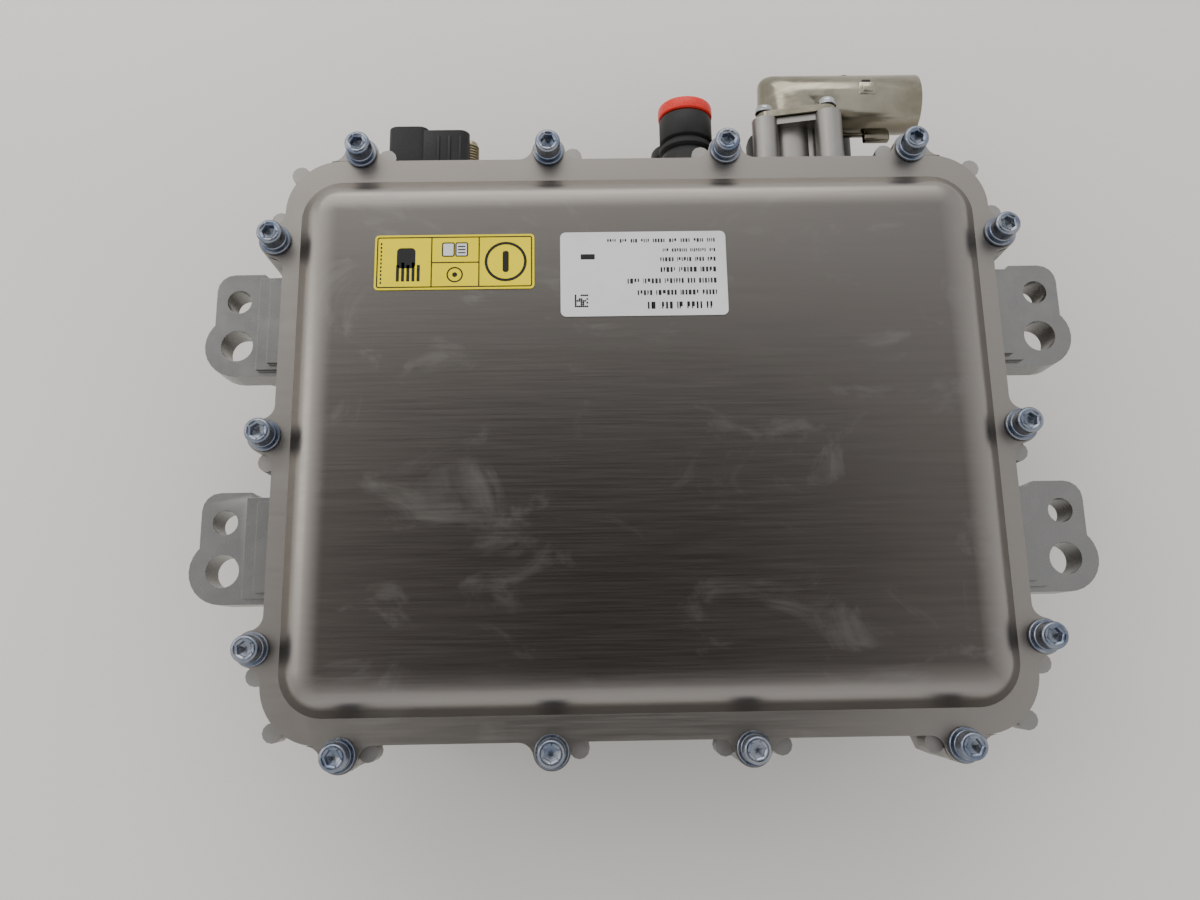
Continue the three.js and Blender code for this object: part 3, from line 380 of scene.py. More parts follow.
def eared_outline(grow=0.0, steps=7):
    """The cover's outline, anticlockwise, with an ear at each screw."""
    hx, hy = COVER_HALF[0] + grow, COVER_HALF[1] + grow
    radius = COVER_CORNER + grow
    sides = (
        ((0, -hy), (1, 0), (0, -1), SCREWS_ALONG),
        ((hx, 0), (0, 1), (1, 0), SCREWS_ACROSS),
        ((0, hy), (-1, 0), (0, 1), SCREWS_ALONG),
        ((-hx, 0), (0, -1), (-1, 0), SCREWS_ACROSS),
    )
    corners = ((hx, -hy, -90), (hx, hy, 0), (-hx, hy, 90), (-hx, -hy, 180))
    points = []
    for (middle, along, out, seats), (cx, cy, turn) in zip(sides, corners):
        for seat in seats:
            for u, v in ear(grow, steps):
                points.append(tuple(middle[i] + (seat + u) * along[i] + v * out[i] for i in (0, 1)))
        centre = (cx - math.copysign(radius, cx), cy - math.copysign(radius, cy))
        points += arc(*centre, radius, turn, turn + 90, 12)
    return points


def flat_plate(outlines, low, high):
    """A plate between two heights. The first outline is its edge, and the others are holes."""
    curve = bpy.data.curves.new("outline", "CURVE")
    curve.dimensions = "2D"
    curve.fill_mode = "BOTH"
    for points in outlines:
        spline = curve.splines.new("POLY")
        spline.points.add(len(points) - 1)
        for point, (x, y) in zip(spline.points, points):
            point.co = (x, y, 0, 1)
        spline.use_cyclic_u = True
    holder = bpy.data.objects.new("outline", curve)
    mesh = bpy.data.meshes.new_from_object(holder)
    bm = bmesh.new()
    bm.from_mesh(mesh)
    bpy.data.objects.remove(holder)
    bpy.data.curves.remove(curve)
    bpy.data.meshes.remove(mesh)
    bmesh.ops.remove_doubles(bm, verts=bm.verts, dist=1e-4)
    bmesh.ops.dissolve_degenerate(bm, edges=bm.edges, dist=1e-5)
    bmesh.ops.translate(bm, verts=bm.verts, vec=(0, 0, low))
    bmesh.ops.recalc_face_normals(bm, faces=bm.faces)
    grown = bmesh.ops.extrude_face_region(bm, geom=bm.faces[:], use_keep_orig=True)
    top = [v for v in grown["geom"] if isinstance(v, bmesh.types.BMVert)]
    bmesh.ops.translate(bm, verts=top, vec=(0, 0, high - low))
    bmesh.ops.recalc_face_normals(bm, faces=bm.faces)
    return bm


def turned(profile, steps=40):
    """A form turned about the Z axis. Its (radius, height) points end on the axis, or where they start."""
    bm = bmesh.new()
    points = [bm.verts.new((radius, 0, height)) for radius, height in profile]
    edges = [bm.edges.new(pair) for pair in zip(points, points[1:])]
    bmesh.ops.spin(
        bm,
        geom=points + edges,
        cent=(0, 0, 0),
        axis=(0, 0, 1),
        angle=math.tau,
        steps=steps,
        use_merge=True,
    )
    bmesh.ops.remove_doubles(bm, verts=bm.verts, dist=1e-4)
    bmesh.ops.recalc_face_normals(bm, faces=bm.faces)
    return bm


def stand(bm, x, y, z, rotation=None):
    """Turns a piece about the origin and moves it to its place."""
    if rotation is not None:
        bm.transform(rotation)
    bm.transform(Matrix.Translation((x, y, z)))
    return bm


FACING_BACK = Matrix.Rotation(-math.pi / 2, 4, "X")  # +Z to +Y
FACING_FRONT = Matrix.Rotation(math.pi / 2, 4, "X")  # +Z to -Y


def merge_in(bm, other):
    """Adds another mesh to bm and frees it."""
    mesh = bpy.data.meshes.new("part")
    other.to_mesh(mesh)
    other.free()
    bm.from_mesh(mesh)
    bpy.data.meshes.remove(mesh)
    return bm


def soften(bm, edges, offset, segments=3):
    """Rounds edges of the mesh itself."""
    bmesh.ops.bevel(
        bm,
        geom=edges,
        offset=offset,
        affect="EDGES",
        segments=segments,
        profile=0.5,
        material=-1,
        clamp_overlap=True,
    )


def soft_block(low, high, radius, segments=3):
    """A box between two corners, with rounded edges."""
    bm = bmesh.new()
    size = [b - a for a, b in zip(low, high)]
    middle = [(a + b) / 2 for a, b in zip(low, high)]
    bmesh.ops.create_cube(bm, size=1, matrix=Matrix.Translation(middle) @ Matrix.Diagonal((*size, 1)))
    soften(bm, bm.edges[:], radius, segments)
    return bm


# ---------------------------------------------------------------- cover


def make_cover():
    """The pressed cover: a flat eared rim, a slope up to a soft shoulder and the raised panel."""
    seats = [(x, s * (COVER_HALF[1] + EAR_OFFSET)) for x in SCREWS_ALONG for s in (-1, 1)]
    seats += [(s * (COVER_HALF[0] + EAR_OFFSET), y) for y in SCREWS_ACROSS for s in (-1, 1)]
    holes = [circle(x, y, HOLE_RADIUS, 24) for x, y in seats]
    opening = rounded_box(DOME_HALF[0] - 1, DOME_HALF[1] - 1, DOME_CORNER - 1, steps=12)
    rim = flat_plate([eared_outline(), opening, *holes], COVER_LOW, COVER_TOP)
    finish_piece("cover_rim", rim, COVER, "cover", ("top_cover",), 0.35, 2)

    lap = 3.0  # how far the panel's foot lies over the rim
    base = COVER_TOP + 0.03
    foot = rounded_box(DOME_HALF[0] + lap, DOME_HALF[1] + lap, DOME_CORNER + lap, steps=12)
    dome = bmesh.new()
    dome.faces.new([dome.verts.new((x, y, base)) for x, y in foot])
    loops = []
    for run, rise in ((lap, 0.0), (SLOPE_RUN, SLOPE_TOP - base), (PANEL_RUN, PANEL_TOP - SLOPE_TOP)):
        dome.faces.ensure_lookup_table()
        top = max(dome.faces, key=lambda face: face.calc_area())
        bmesh.ops.inset_region(dome, faces=[top], use_boundary=True, use_even_offset=True, thickness=run)
        bmesh.ops.translate(dome, verts=top.verts, vec=(0, 0, rise))
        loops.append(list(top.edges))
    for loop, width, segments in zip(loops, (2.4, 2.6, 2.6), (5, 6, 4)):
        soften(dome, [edge for edge in loop if edge.is_valid], width, segments)
    bmesh.ops.recalc_face_normals(dome, faces=dome.faces)
    if max(dome.faces, key=lambda face: face.calc_area()).normal.z < 0:
        bmesh.ops.reverse_faces(dome, faces=dome.faces)
    bmesh.ops.remove_doubles(dome, verts=dome.verts, dist=1e-4)
    finish_piece("cover_panel", dome, COVER, "cover", (), crease=60, wall=1.4)


make_cover()


# ---------------------------------------------------------------- screws


def screw_mesh():
    """One cover screw on the Z axis: plain washer, spring washer, round head and hexagon socket."""
    seat = COVER_TOP + 0.3
    spring = seat + 1.6
    head = spring + 1.6
    top = head + 6.0
    socket = 2.5
    tip = 69
    profile = [
        (0, tip), (2.4, tip), (3, tip + 0.7), (3, seat),
        (5.9, seat), (6.2, seat + 0.3), (6.2, spring - 0.3), (5.9, spring - 0.02),
        (4.8, spring + 0.02), (5.1, spring + 0.25), (5.1, head - 0.25), (4.8, head),
        (4.7, head + 0.1), (5, head + 0.4), (5, top - 1.1), (4.87, top - 0.6), (4.5, top - 0.2),
        (4.1, top), (3.35, top), (socket, top - 0.6), (socket, top - 3.4), (1.2, top - 3.9), (0, top - 4.1),
    ]
    bm = turned(profile, 36)
    for vert in bm.verts:
        radius = math.hypot(vert.co.x, vert.co.y)
        if 1.0 < radius < socket + 0.05 and vert.co.z > head:
            # drawn out from a circle to a hexagon
            turn = math.atan2(vert.co.y, vert.co.x) % (math.pi / 3) - math.pi / 6
            scale = 1 / math.cos(turn)
            vert.co.x *= scale
            vert.co.y *= scale
    return bm


def make_screws():
    nodes = [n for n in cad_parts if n.startswith("cover_screw")]
    for node in sorted(nodes):
        low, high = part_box(node)
        x, y = (low.x + high.x) / 2 / MM, (low.y + high.y) / 2 / MM
        turn = Matrix.Rotation(random.uniform(0, math.tau), 4, "Z")
        bm = stand(screw_mesh(), x, y, 0, turn)
        finish_piece(node + "_look", bm, ZINC, "cover_screws", (node,), crease=40)


make_screws()


# ---------------------------------------------------------------- labels


def label_plate(name, node, box, radius, material):
    x0, x1, y0, y1 = box
    outline = rounded_box((x1 - x0) / 2, (y1 - y0) / 2, radius, (x0 + x1) / 2, (y0 + y1) / 2, 6)
    bm = flat_plate([outline], LABEL_LOW, LABEL_LOW + 0.25)
    finish_piece(name, bm, material, "cover", (node,), 0.06, 1)


def marks(name, shapes):
    """Printed marks, as thin flat shapes on a label. Each is a list of outlines."""
    bm = bmesh.new()
    for outlines in shapes:
        merge_in(bm, flat_plate(outlines, LABEL_LOW + 0.24, LABEL_LOW + 0.29))
    finish_piece(name, bm, INK, "cover")


def bar(x0, x1, y0, y1):
    return [rounded_box((x1 - x0) / 2, (y1 - y0) / 2, 0.15, (x0 + x1) / 2, (y0 + y1) / 2, 1)]


def frame_of(x0, x1, y0, y1, width, radius=1.0):
    cx, cy, hx, hy = (x0 + x1) / 2, (y0 + y1) / 2, (x1 - x0) / 2, (y1 - y0) / 2
    inner = rounded_box(hx - width, hy - width, max(radius - width, 0.15), cx, cy, 4)
    return [rounded_box(hx, hy, radius, cx, cy, 4), inner]


def scribble(x0, x1, y, tall):
    """A word of unreadable strokes, read from x1 back to x0."""
    shapes = []
    x = x1
    while x - 0.5 > x0:
        wide = min(random.uniform(0.45, 0.8) * tall, x - x0)
        lift = random.choice((0, 0, 0.3)) * tall
        shapes.append(bar(x - wide + 0.26 * tall, x, y + lift, y + tall))
        if random.random() < 0.6:
            shapes.append(bar(x - wide + 0.26 * tall, x - wide + 0.42 * tall, y, y + tall))
        x -= wide
    return shapes


def make_labels():
    label_plate("warning_film", "warning_label", WARNING_BOX, 1.5, YELLOW)
    shapes = [frame_of(-102.6, -42.3, 55.8, 76.8, 0.5)]
    shapes += [bar(-81.6, -81.1, 56.2, 76.4), bar(-63.2, -62.7, 56.2, 76.4), bar(-81.2, -63.0, 65.8, 66.3)]
    shapes += [[rounded_box(3.6, 4.2, 1.6, -91.2, 68.0, 5)]]
    shapes += [bar(-95 + 2.0 * i, -93.8 + 2.0 * i, 58.4, 65.2 + (i % 2)) for i in range(5)]
    shapes += [bar(-101.2, -100.6, 57.5 + 1.6 * i, 58.5 + 1.6 * i) for i in range(11)]
    shapes += [frame_of(-77.4, -72.4, 68.4, 74.4, 0.5, 0.8), frame_of(-72.2, -67.2, 68.4, 74.4, 0.5, 0.8)]
    shapes += [bar(-71.2, -68.2, 69.8 + 1.3 * i, 70.3 + 1.3 * i) for i in range(3)]
    shapes += [[circle(-72.3, 61.0, 3.2), circle(-72.3, 61.0, 2.6)], [circle(-72.3, 61.0, 1.0)]]
    shapes += [[circle(-52.6, 66.2, 8.2), circle(-52.6, 66.2, 7.1)]]
    shapes += [[rounded_box(1.2, 4.4, 1.0, -52.6, 66.2, 4)]]
    marks("warning_marks", shapes)
    pages = bmesh.new()
    for x in (-74.9, -69.7):
        page = rounded_box(2.0, 2.5, 0.4, x, 71.4, 3)
        merge_in(pages, flat_plate([page], LABEL_LOW + 0.24, LABEL_LOW + 0.27))
    finish_piece("warning_pages", pages, WHITE, "cover")

    label_plate("rating_film", "rating_label", RATING_BOX, 2.2, WHITE)
    shapes = []
    rows = (
        (46.0, 3.6, (-2, 27), 5), (51.6, 2.6, (-9, 29), 5), (56.4, 2.6, (-12, 29), 6),
        (61.0, 2.6, (0, 29), 4), (65.4, 2.2, (1, 29), 4), (69.4, 1.8, (6, 29), 4),
        (73.4, 2.0, (-20, 29), 9),
    )
    for y, tall, (start, end), words in rows:
        x = end
        for _ in range(words):
            span = random.uniform(0.6, 1.3) * (end - start) / words
            if x - span < start:
                break
            shapes += scribble(x - span + 1.0, x, y, 0.8 * tall)
            x -= span
    shapes.append(bar(-23.5, -18, 66.6, 68.8))
    for i in range(7):
        for j in range(7):
            if (i == 0 or j == 0) or random.random() < 0.5:
                shapes.append(bar(-26 + 0.75 * i, -25.3 + 0.75 * i, 47 + 0.75 * j, 47.7 + 0.75 * j))
    marks("rating_marks", shapes)


make_labels()


# ---------------------------------------------------------------- casing


def merged_copy(node):
    """A CAD node's surface as one mesh in millimetres, with its flat faces whole again."""
    bm = bmesh.new()
    bm.from_mesh(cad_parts[node].data)
    bm.transform(Matrix.Scale(1 / MM, 4))
    bmesh.ops.remove_doubles(bm, verts=bm.verts, dist=2e-3)
    bmesh.ops.dissolve_limit(
        bm,
        angle_limit=math.radians(0.6),
        verts=bm.verts,
        edges=bm.edges,
        use_dissolve_boundaries=False,
    )
    return bm


def make_casing():
    walls = merged_copy("casing")
    finish_piece("casing_walls", walls, CAST, "housing", ("casing",), 0.9, 2, 30)
    floor = merged_copy("casing_floor")
    finish_piece("casing_base", floor, CAST, "housing", ("casing_floor",), 0.7, 2, 30)
    for lug in LUGS:
        bm = merged_copy(lug)
        for vert in bm.verts:
            # the end against the wall goes 1 mm into it, so that no rounded edge shows there
            if abs(vert.co.x) < WALL_X + 0.1:
                vert.co.x -= math.copysign(1, vert.co.x)
        finish_piece(lug + "_body", bm, WORN, "housing", (lug,), 1.6, 3, 30)


make_casing()


# ---------------------------------------------------------------- high-voltage elbow


def loop_of(bm, centre, across, up, steps=56):
    """A ring of vertices round a centre, with across and up as its two half axes."""
    centre, across, up = Vector(centre), Vector(across), Vector(up)
    turns = [math.tau * i / steps for i in range(steps)]
    return [bm.verts.new(centre + across * math.cos(t) + up * math.sin(t)) for t in turns]


def skin_between(bm, loops):
    """Faces from each ring to the next, and from the last back to the first."""
    made = []
    for near, far in zip(loops, loops[1:] + loops[:1]):
        for i in range(len(near)):
            j = (i + 1) % len(near)
            made.append(bm.faces.new((near[i], near[j], far[j], far[i])))
    return made


def edges_round(loop):
    """The edges between a ring's own vertices."""
    members = set(loop)
    return [edge for edge in {e for v in loop for e in v.link_edges} if set(edge.verts) <= members]


def elbow_tube():
    """A column up from the flange and a tube along X, mitred together with a rounded corner."""
    bm = bmesh.new()
    foot_y = ELBOW_FLANGE[0]
    loops = []
    for radius, spread in ((ELBOW_RADIUS, 3.4), (ELBOW_RADIUS - ELBOW_WALL, 0.0)):
        up = (0, 0, radius)
        foot = loop_of(bm, (ELBOW_X + 0.7 * spread, foot_y, ELBOW_Z), (radius + spread, 0, 0), up)
        corner = loop_of(bm, (ELBOW_X, ELBOW_TUBE_Y, ELBOW_Z), (radius, -radius, 0), up)
        lip = loop_of(bm, (ELBOW_END, ELBOW_TUBE_Y, ELBOW_Z), (0, -radius, 0), up)
        loops.append((foot, corner, lip))
    outside, inside = loops
    skin_between(bm, [*outside, *reversed(inside)])
    soften(bm, edges_round(outside[1]), 5.0, 5)
    soften(bm, [e for loop in (outside[2], inside[2]) for e in edges_round(loop)], 0.7, 2)
    bmesh.ops.recalc_face_normals(bm, faces=bm.faces)
    return bm


def on_duct(bm):
    """Turns a piece that lies flat round the duct's middle to face the back, with the duct's tilt."""
    bm.transform(Matrix.Rotation(math.pi / 2, 4, "X"))
    bm.transform(Matrix.Rotation(-DUCT_TILT, 4, "Y"))
    bm.transform(Matrix.Translation((DUCT_MIDDLE[0], 0, DUCT_MIDDLE[1])))
    bmesh.ops.recalc_face_normals(bm, faces=bm.faces)
    return bm


def duct_bolt(index):
    """A bolt's X and Z."""
    x, z = DUCT_BOLTS[index]
    cos, sin = math.cos(DUCT_TILT), math.sin(DUCT_TILT)
    return DUCT_MIDDLE[0] + x * cos - z * sin, DUCT_MIDDLE[1] + x * sin + z * cos


def make_elbow():
    finish_piece("elbow_tube", elbow_tube(), NICKEL, "housing", ("elbow_shell",), crease=40)

    low, high = ELBOW_FLANGE
    bolts = [circle(x, z, 2.7, 20) for x, z in DUCT_BOLTS]
    bore = circle(ELBOW_X - DUCT_MIDDLE[0], 0, ELBOW_RADIUS - ELBOW_WALL, 48)
    flange = on_duct(flat_plate([rounded_box(17.2, 17.6, 5.0), bore, *bolts], -high, -low))
    finish_piece("elbow_flange", flange, NICKEL, "housing", (), 0.5, 3)

    details = bmesh.new()
    for corner_low, corner_high, radius in (
        ((93.5, 146.0, 46.2), (112.0, 150.0, 49.0), 0.6),
        ((105.5, 142.8, 46.6), (117.2, 150.5, 50.4), 0.8),
        ((100.6, 157.2, 62.6), (108.4, 163.4, 64.2), 0.6),
        ((102.2, 158.4, 63.4), (106.8, 162.2, 64.8), 0.5),
    ):
        merge_in(details, soft_block(corner_low, corner_high, radius))
    finish_piece("elbow_ledges", details, NICKEL, "housing", (), crease=40)

    rest = Matrix.Rotation(-math.radians(61), 4, "X")
    hole = turned([(0, -0.8), (1.25, -0.8), (1.25, 0.25), (1.05, 0.35), (0, 0.35)], 24)
    stand(hole, 96.3, 170.75, 57.2, rest)
    finish_piece("elbow_test_hole", hole, BLACK, "housing")
    window = soft_block((102.4, 163.3, 61.4), (106.2, 164.9, 63.4), 0.3)
    finish_piece("elbow_clip_window", window, BLACK, "housing")

    insert = turned(
        [(0, 95), (10.6, 95), (10.6, 108.4), (10.0, 109), (8.6, 109), (8.6, 106.5), (0, 106.5)],
        48,
    )
    for y in (-4.5, 4.5):
        pin = turned([(0, 106), (2.0, 106), (2.0, 119.2), (1.3, 120), (0, 120)], 20)
        merge_in(insert, stand(pin, 0, y, 0))
    insert = stand(insert, 0, ELBOW_TUBE_Y, ELBOW_Z, Matrix.Rotation(math.pi / 2, 4, "Y"))
    finish_piece("elbow_contacts", insert, BLACK, "housing", ("elbow_insert",), crease=40)

    for index in range(3):
        x, z = duct_bolt(index)
        head = turned(
            [
                (0, 135), (2.2, 135), (2.4, 135.4), (2.4, 148.7), (3.9, 148.7), (4.1, 148.9),
                (4.1, 149.3), (3.9, 149.5), (3.8, 150.6), (3.4, 151.6), (2.6, 152.3), (1.9, 152.6),
                (1.6, 151.2), (0, 151.0),
            ],
            32,
        )
        name = f"elbow_screw_{index + 1}"
        stand(head, x, 0, z, FACING_BACK)
        finish_piece(name + "_look", head, STEEL, "housing", (name,), crease=40)


make_elbow()


# ---------------------------------------------------------------- coolant ports


def make_ports():
    caps = ((RED, "red_plastic"), (BLACK, "black_plastic"))
    for (name, x, z, tip), (cap, slot) in zip(PORTS, caps):
        boot = [
            (8.3, PORT_FOOT), (12.4, PORT_FOOT), (12.8, PORT_FOOT + 0.5), (12.8, tip - 21.5),
            (12.5, tip - 20.8), (11.2, tip - 18.4), (10.6, tip - 17.6), (11.6, tip - 16.9),
            (12.1, tip - 16.2), (12.1, tip - 14.6), (11.5, tip - 13.9), (10.3, tip - 13.4),
            (10.3, tip - 12.5), (11.5, tip - 11.9), (11.8, tip - 11.4), (11.8, tip - 1.1),
            (11.5, tip - 0.4), (10.8, tip), (8.3, tip), (8.3, PORT_FOOT),
        ]
        bm = stand(turned(boot, 48), x, 0, z, FACING_BACK)
        finish_piece(name + "_hose", bm, RUBBER, "housing", (name + "_boot",), crease=35)

        rim = tip + 0.3
        plug = [
            (0, tip - 5), (5.8, tip - 5), (7.9, tip - 3), (7.9, rim), (11.6, rim), (12.1, rim + 0.5),
            (12.2, rim + 1.4), (12.2, rim + 4.4), (11.9, rim + 5.2), (11.2, rim + 5.6), (9.6, rim + 5.6),
            (8.8, rim + 5.2), (8.4, rim + 3.4), (0, rim + 3.2),
        ]
        bm = stand(turned(plug, 48), x, 0, z, FACING_BACK)
        finish_piece(name + "_stopper", bm, cap, name + "_cap", (name + "_plug",), crease=35)

        pipe = [
            (6.2, 105.4), (8, 105.4), (8, tip - 9), (8.2, tip - 8.4), (8.2, tip - 7.4), (7.6, tip - 6.2),
            (6.2, tip - 6.2), (6.2, 105.4),
        ]
        bm = stand(turned(pipe, 40), x, 0, z, FACING_BACK)
        finish_piece(name + "_tube", bm, CAST, "housing", (name + "_pipe",), crease=35)


make_ports()


# ---------------------------------------------------------------- plastic connectors


def make_connectors():
    bm = merged_copy("signal_connector")
    finish_piece("signal_shell", bm, BLACK, "housing", ("signal_connector",), 0.95, 3, 30)
    x0, x1, z0, z1 = SIGNAL
    ribs = bmesh.new()
    for i in range(3):
        x = x0 + 20.5 + 4.6 * i
        merge_in(ribs, soft_block((x, 112, z1 - 0.4), (x + 1.4, 133, z1 + 0.6), 0.35))
        merge_in(ribs, soft_block((x, 112, z0 - 0.6), (x + 1.4, 133, z0 + 0.4), 0.35))
    merge_in(ribs, soft_block((x0 + 3.2, 116, z1 + 0.3), (x0 + 13.4, 119, z1 + 1.5), 0.5))
    merge_in(ribs, soft_block((x0 + 4.0, 108, z0 - 2.0), (x0 + 13.0, 131, z0 - 0.3), 0.6))
    finish_piece("signal_ribs", ribs, BLACK, "housing", (), crease=40)

    bm = merged_copy("motor_connector")
    finish_piece("motor_shell", bm, BLACK, "housing", ("motor_connector",), 0.9, 3, 30)
    x0, x1, z0, z1 = MOTOR
    middle = (x0 + x1) / 2
    ribs = bmesh.new()
    for x in (x0 + 9, x0 + 14.5, x1 - 14.5, x1 - 9):
        merge_in(ribs, soft_block((x - 0.8, 112, z1 - 0.5), (x + 0.8, 146, z1 + 1.1), 0.4))
    merge_in(ribs, soft_block((middle - 5.5, 138, z1 - 0.5), (middle + 5.5, 146, z1 + 2.4), 0.8))
    merge_in(ribs, soft_block((middle - 7.5, 118, z1 - 0.5), (middle - 5.7, 150, z1 + 3.0), 0.6))
    merge_in(ribs, soft_block((middle + 5.7, 118, z1 - 0.5), (middle + 7.5, 150, z1 + 3.0), 0.6))
    foot = rounded_box((x1 - x0) / 2 + 3.4, (z1 - z0) / 2 + 2.6, 9, middle, (z0 + z1) / 2)
    merge_in(ribs, stand(flat_plate([foot], -113.4, -110.0), 0, 0, 0, FACING_FRONT))
    finish_piece("motor_ribs", ribs, BLACK, "housing", (), 0.3, 2, 40)


def make_stud():
    """The earth stud, with its collar and a thread made of rings."""
    thread = []
    step = 1.25
    for i in range(18):
        y = 110.2 + step * i
        thread += [(3.45, y), (3.95, y + 0.45), (4.0, y + 0.62), (3.95, y + 0.8)]
    profile = [
        (0, 103.7), (4, 103.7), (4, 107.6), (5.6, 107.6), (5.8, 107.9), (5.8, 109.4), (5.5, 109.7),
        *thread, (3.45, 132.8), (3.2, 134.1), (2.8, 134.5), (0, 134.5),
    ]
    bm = stand(turned(profile, 28), STUD[0], 0, STUD[1], FACING_BACK)
    finish_piece("earth_stud_thread", bm, STUD_METAL, "housing", ("earth_stud",), crease=30)


def make_vent():
    profile = [
        (0, 103.2), (3.9, 103.2), (3.9, 108.1), (8.2, 108.1), (8.5, 108.4), (8.5, 111.0), (8.1, 111.8),
        (7.0, 112.8), (5.0, 112.8), (4.7, 112.3), (0, 112.3),
    ]
    bm = stand(turned(profile, 40), VENT[0], 0, VENT[1], FACING_FRONT)
    finish_piece("vent_cap", bm, BLACK, "housing", ("vent_plug",), crease=35)
    bm = bmesh.new()
    for i in range(8):
        grip = soft_block((7.4, -0.9, 108.6), (9.2, 0.9, 111.6), 0.4)
        grip.transform(Matrix.Rotation(math.tau * i / 8, 4, "Z"))
        merge_in(bm, grip)
    stand(bm, VENT[0], 0, VENT[1], FACING_FRONT)
    finish_piece("vent_grips", bm, BLACK, "housing", (), crease=40)


make_connectors()
make_stud()
make_vent()


# ---------------------------------------------------------------- coolant plate, gasket and power stage


def scatter(low, high, sizes, count, keep):
    """Small boxes laid at random on a board, none over another or over a place that `keep` holds."""
    taken = list(keep)
    bm = bmesh.new()
    for _ in range(count * 6):
        length, width, height = random.choice(sizes)
        x = random.uniform(low[0], high[0] - length)
        y = random.uniform(low[1], high[1] - width)
        spot = (x - 1, x + length + 1, y - 1, y + width + 1)
        if any(spot[0] < b and a < spot[1] and spot[2] < d and c < spot[3] for a, b, c, d in taken):
            continue
        taken.append(spot)
        merge_in(bm, soft_block((x, y, low[2]), (x + length, y + width, low[2] + height), 0.25, 1))
        count -= 1
        if not count:
            break
    return bm, taken


def make_blocks():
    """The plain shapes inside, with their edges rounded."""
    blocks = [
        ("coolant_plate", CAST, "cast_metal", 0.7, 3),
        ("link_capacitor", GREY, "grey_plastic", 1.6, 3),
        ("discharge_resistor", CAST, "cast_metal", 0.5, 3),
    ]
    for phase in "uvw":
        blocks.append((f"power_module_{phase}", GREY, "grey_plastic", 0.7, 2))
        blocks.append((f"phase_bar_{phase}", COPPER, "copper", 0.35, 2))
    blocks += [
        ("negative_bar", COPPER, "copper", 0.35, 2),
        ("positive_bar", COPPER, "copper", 0.35, 2),
        ("current_sensor", BLACK, "black_plastic", 0.6, 2),
        ("filter_core", FERRITE, "ferrite", 1.0, 2),
    ]
    for node, look, slot, bevel, segments in blocks:
        finish_piece(node + "_look", merged_copy(node), look, "housing", (node,), bevel, segments, 30)


def make_board_parts():
    """Chips, small parts and sockets on the control board."""
    chip_sizes = ((18, 18, 1.6), (12, 9, 1.5), (8, 6, 1.3))
    chips, taken = scatter((-120, -86, BOARD_TOP), (120, 86, BOARD_TOP), chip_sizes, 26, ())
    finish_piece("control_chips", chips, BLACK, "housing", (), crease=40)
    small_sizes = ((3.2, 1.8, 1.0), (2, 1.4, 0.8))
    small, taken = scatter((-122, -88, BOARD_TOP), (122, 88, BOARD_TOP), small_sizes, 120, taken)
    finish_piece("control_passives", small, GREY, "housing", (), crease=40)
    plug_sizes = ((22, 7, 5.5), (9, 14, 5))
    plugs, _ = scatter((-120, -84, BOARD_TOP), (120, 84, BOARD_TOP), plug_sizes, 7, taken)
    finish_piece("control_plugs", plugs, WHITE, "housing", (), crease=40)


def dress_frame():
    """Gives a finish to the frame's own pieces that are shown as they are."""
    for node, look in (
        ("cover_gasket", SEALANT),
        ("motor_contact_block", GREY),
        ("signal_pins", GREY),
        ("driver_board", BOARD),
        ("shield_plate", COVER),
        ("control_board", BOARD),
    ):
        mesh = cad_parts[node].data
        mesh.materials.clear()
        mesh.materials.append(look)


dress_frame()
make_blocks()
make_board_parts()


# ---------------------------------------------------------------- floor, lights and camera


LAMP_COLOUR = (1, 0.985, 0.96)


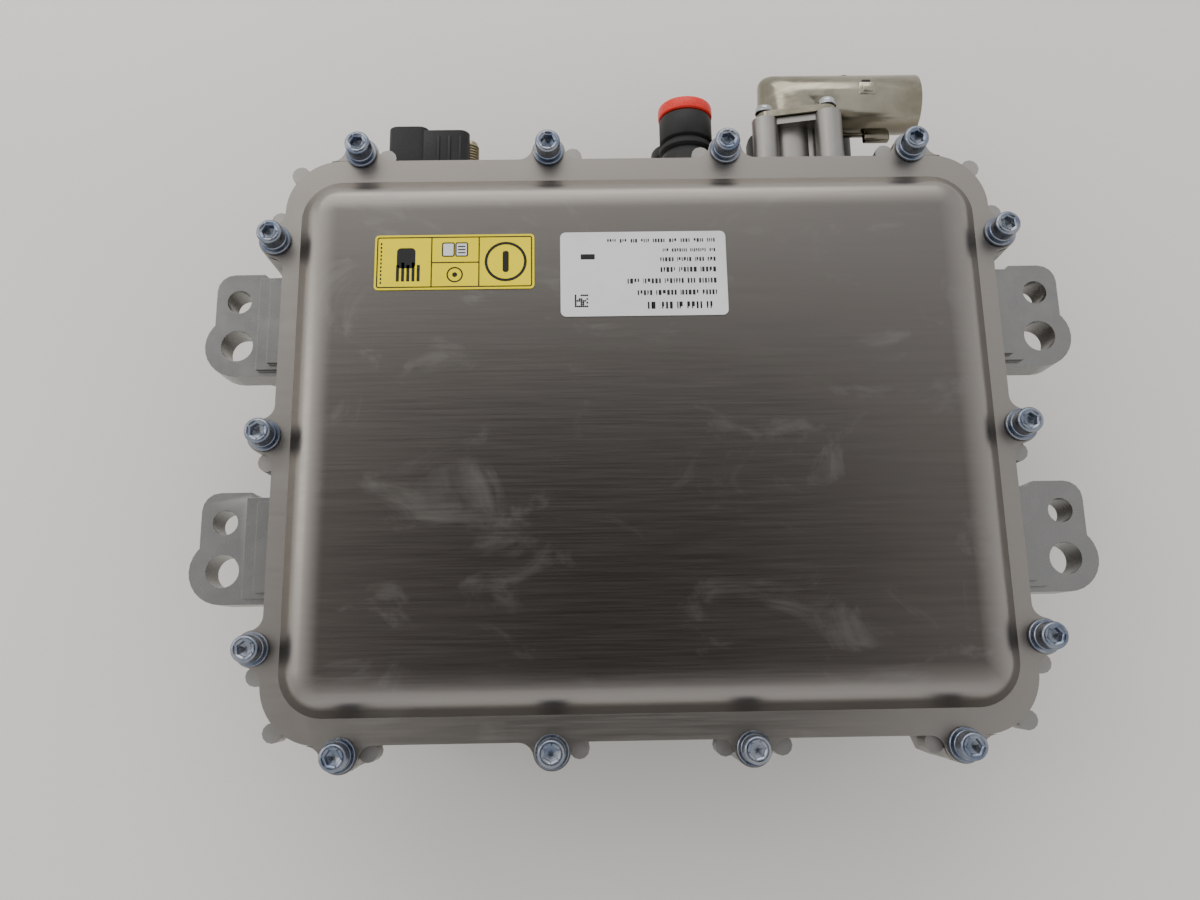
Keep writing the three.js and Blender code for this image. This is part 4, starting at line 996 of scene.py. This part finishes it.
def stage_sheet(name, half, place, material):
    """A level square sheet that stands with the scene and isn't part of the object."""
    bm = bmesh.new()
    bmesh.ops.create_grid(bm, x_segments=1, y_segments=1, size=half)
    mesh = bpy.data.meshes.new(name)
    bm.to_mesh(mesh)
    bm.free()
    mesh.materials.append(material)
    sheet = bpy.data.objects.new(name, mesh)
    sheet.location = place
    scene.collection.objects.link(sheet)


def make_stage():
    """A pale floor, and a dull card high above that the cover mirrors as its dark middle."""
    f = Finish("pale_floor", (0.8, 0.775, 0.72), 0.3)
    f.put("Base Color", f.mix(f.noise(2, 2), (0.78, 0.755, 0.7), (0.82, 0.795, 0.74)))
    f.put("Roughness", f.between(f.noise(5, 3), 0.3, 0.7, 0.26, 0.34))
    stage_sheet("floor", 30.0, (0, 0, -0.0005), f.material)

    f = Finish("dull_card", (0.05, 0.05, 0.05), 0.9)
    f.put("Base Color", f.mix(f.noise(3, 2), (0.04, 0.04, 0.04), (0.07, 0.07, 0.07)))
    stage_sheet("ceiling_card", 0.5, (-0.02, -0.05, 1.35), f.material)


def soft_light(name, place, aim, size, watts):
    lamp = bpy.data.lights.new(name, "AREA")
    lamp.shape = "RECTANGLE"
    lamp.size, lamp.size_y = size
    lamp.energy = watts
    lamp.color = LAMP_COLOUR
    holder = bpy.data.objects.new(name, lamp)
    holder.location = place
    holder.rotation_euler = (Vector(aim) - Vector(place)).to_track_quat("-Z", "Y").to_euler()
    scene.collection.objects.link(holder)


def make_lights():
    world = bpy.data.worlds.new("studio")
    scene.world = world
    world.use_nodes = True
    background = world.node_tree.nodes["Background"]
    background.inputs["Color"].default_value = (0.96, 0.97, 1.0, 1)
    background.inputs["Strength"].default_value = 1.0
    soft_light("back_box", (-0.4, 2.4, 1.9), (0, 0, 0.05), (3.4, 1.6), 42)
    soft_light("left_box", (-2.4, 0.6, 1.5), (0, 0, 0.05), (1.2, 2.4), 16)


def make_camera():
    camera = bpy.data.cameras.new("camera")
    camera.sensor_width = 36
    camera.lens = 29.13
    holder = bpy.data.objects.new("camera", camera)
    holder.location = (-0.02165, -0.08571, 0.44957)
    holder.rotation_euler = (0.2134, -0.0089, -0.0166)
    scene.collection.objects.link(holder)
    scene.camera = holder


make_stage()
make_lights()
make_camera()
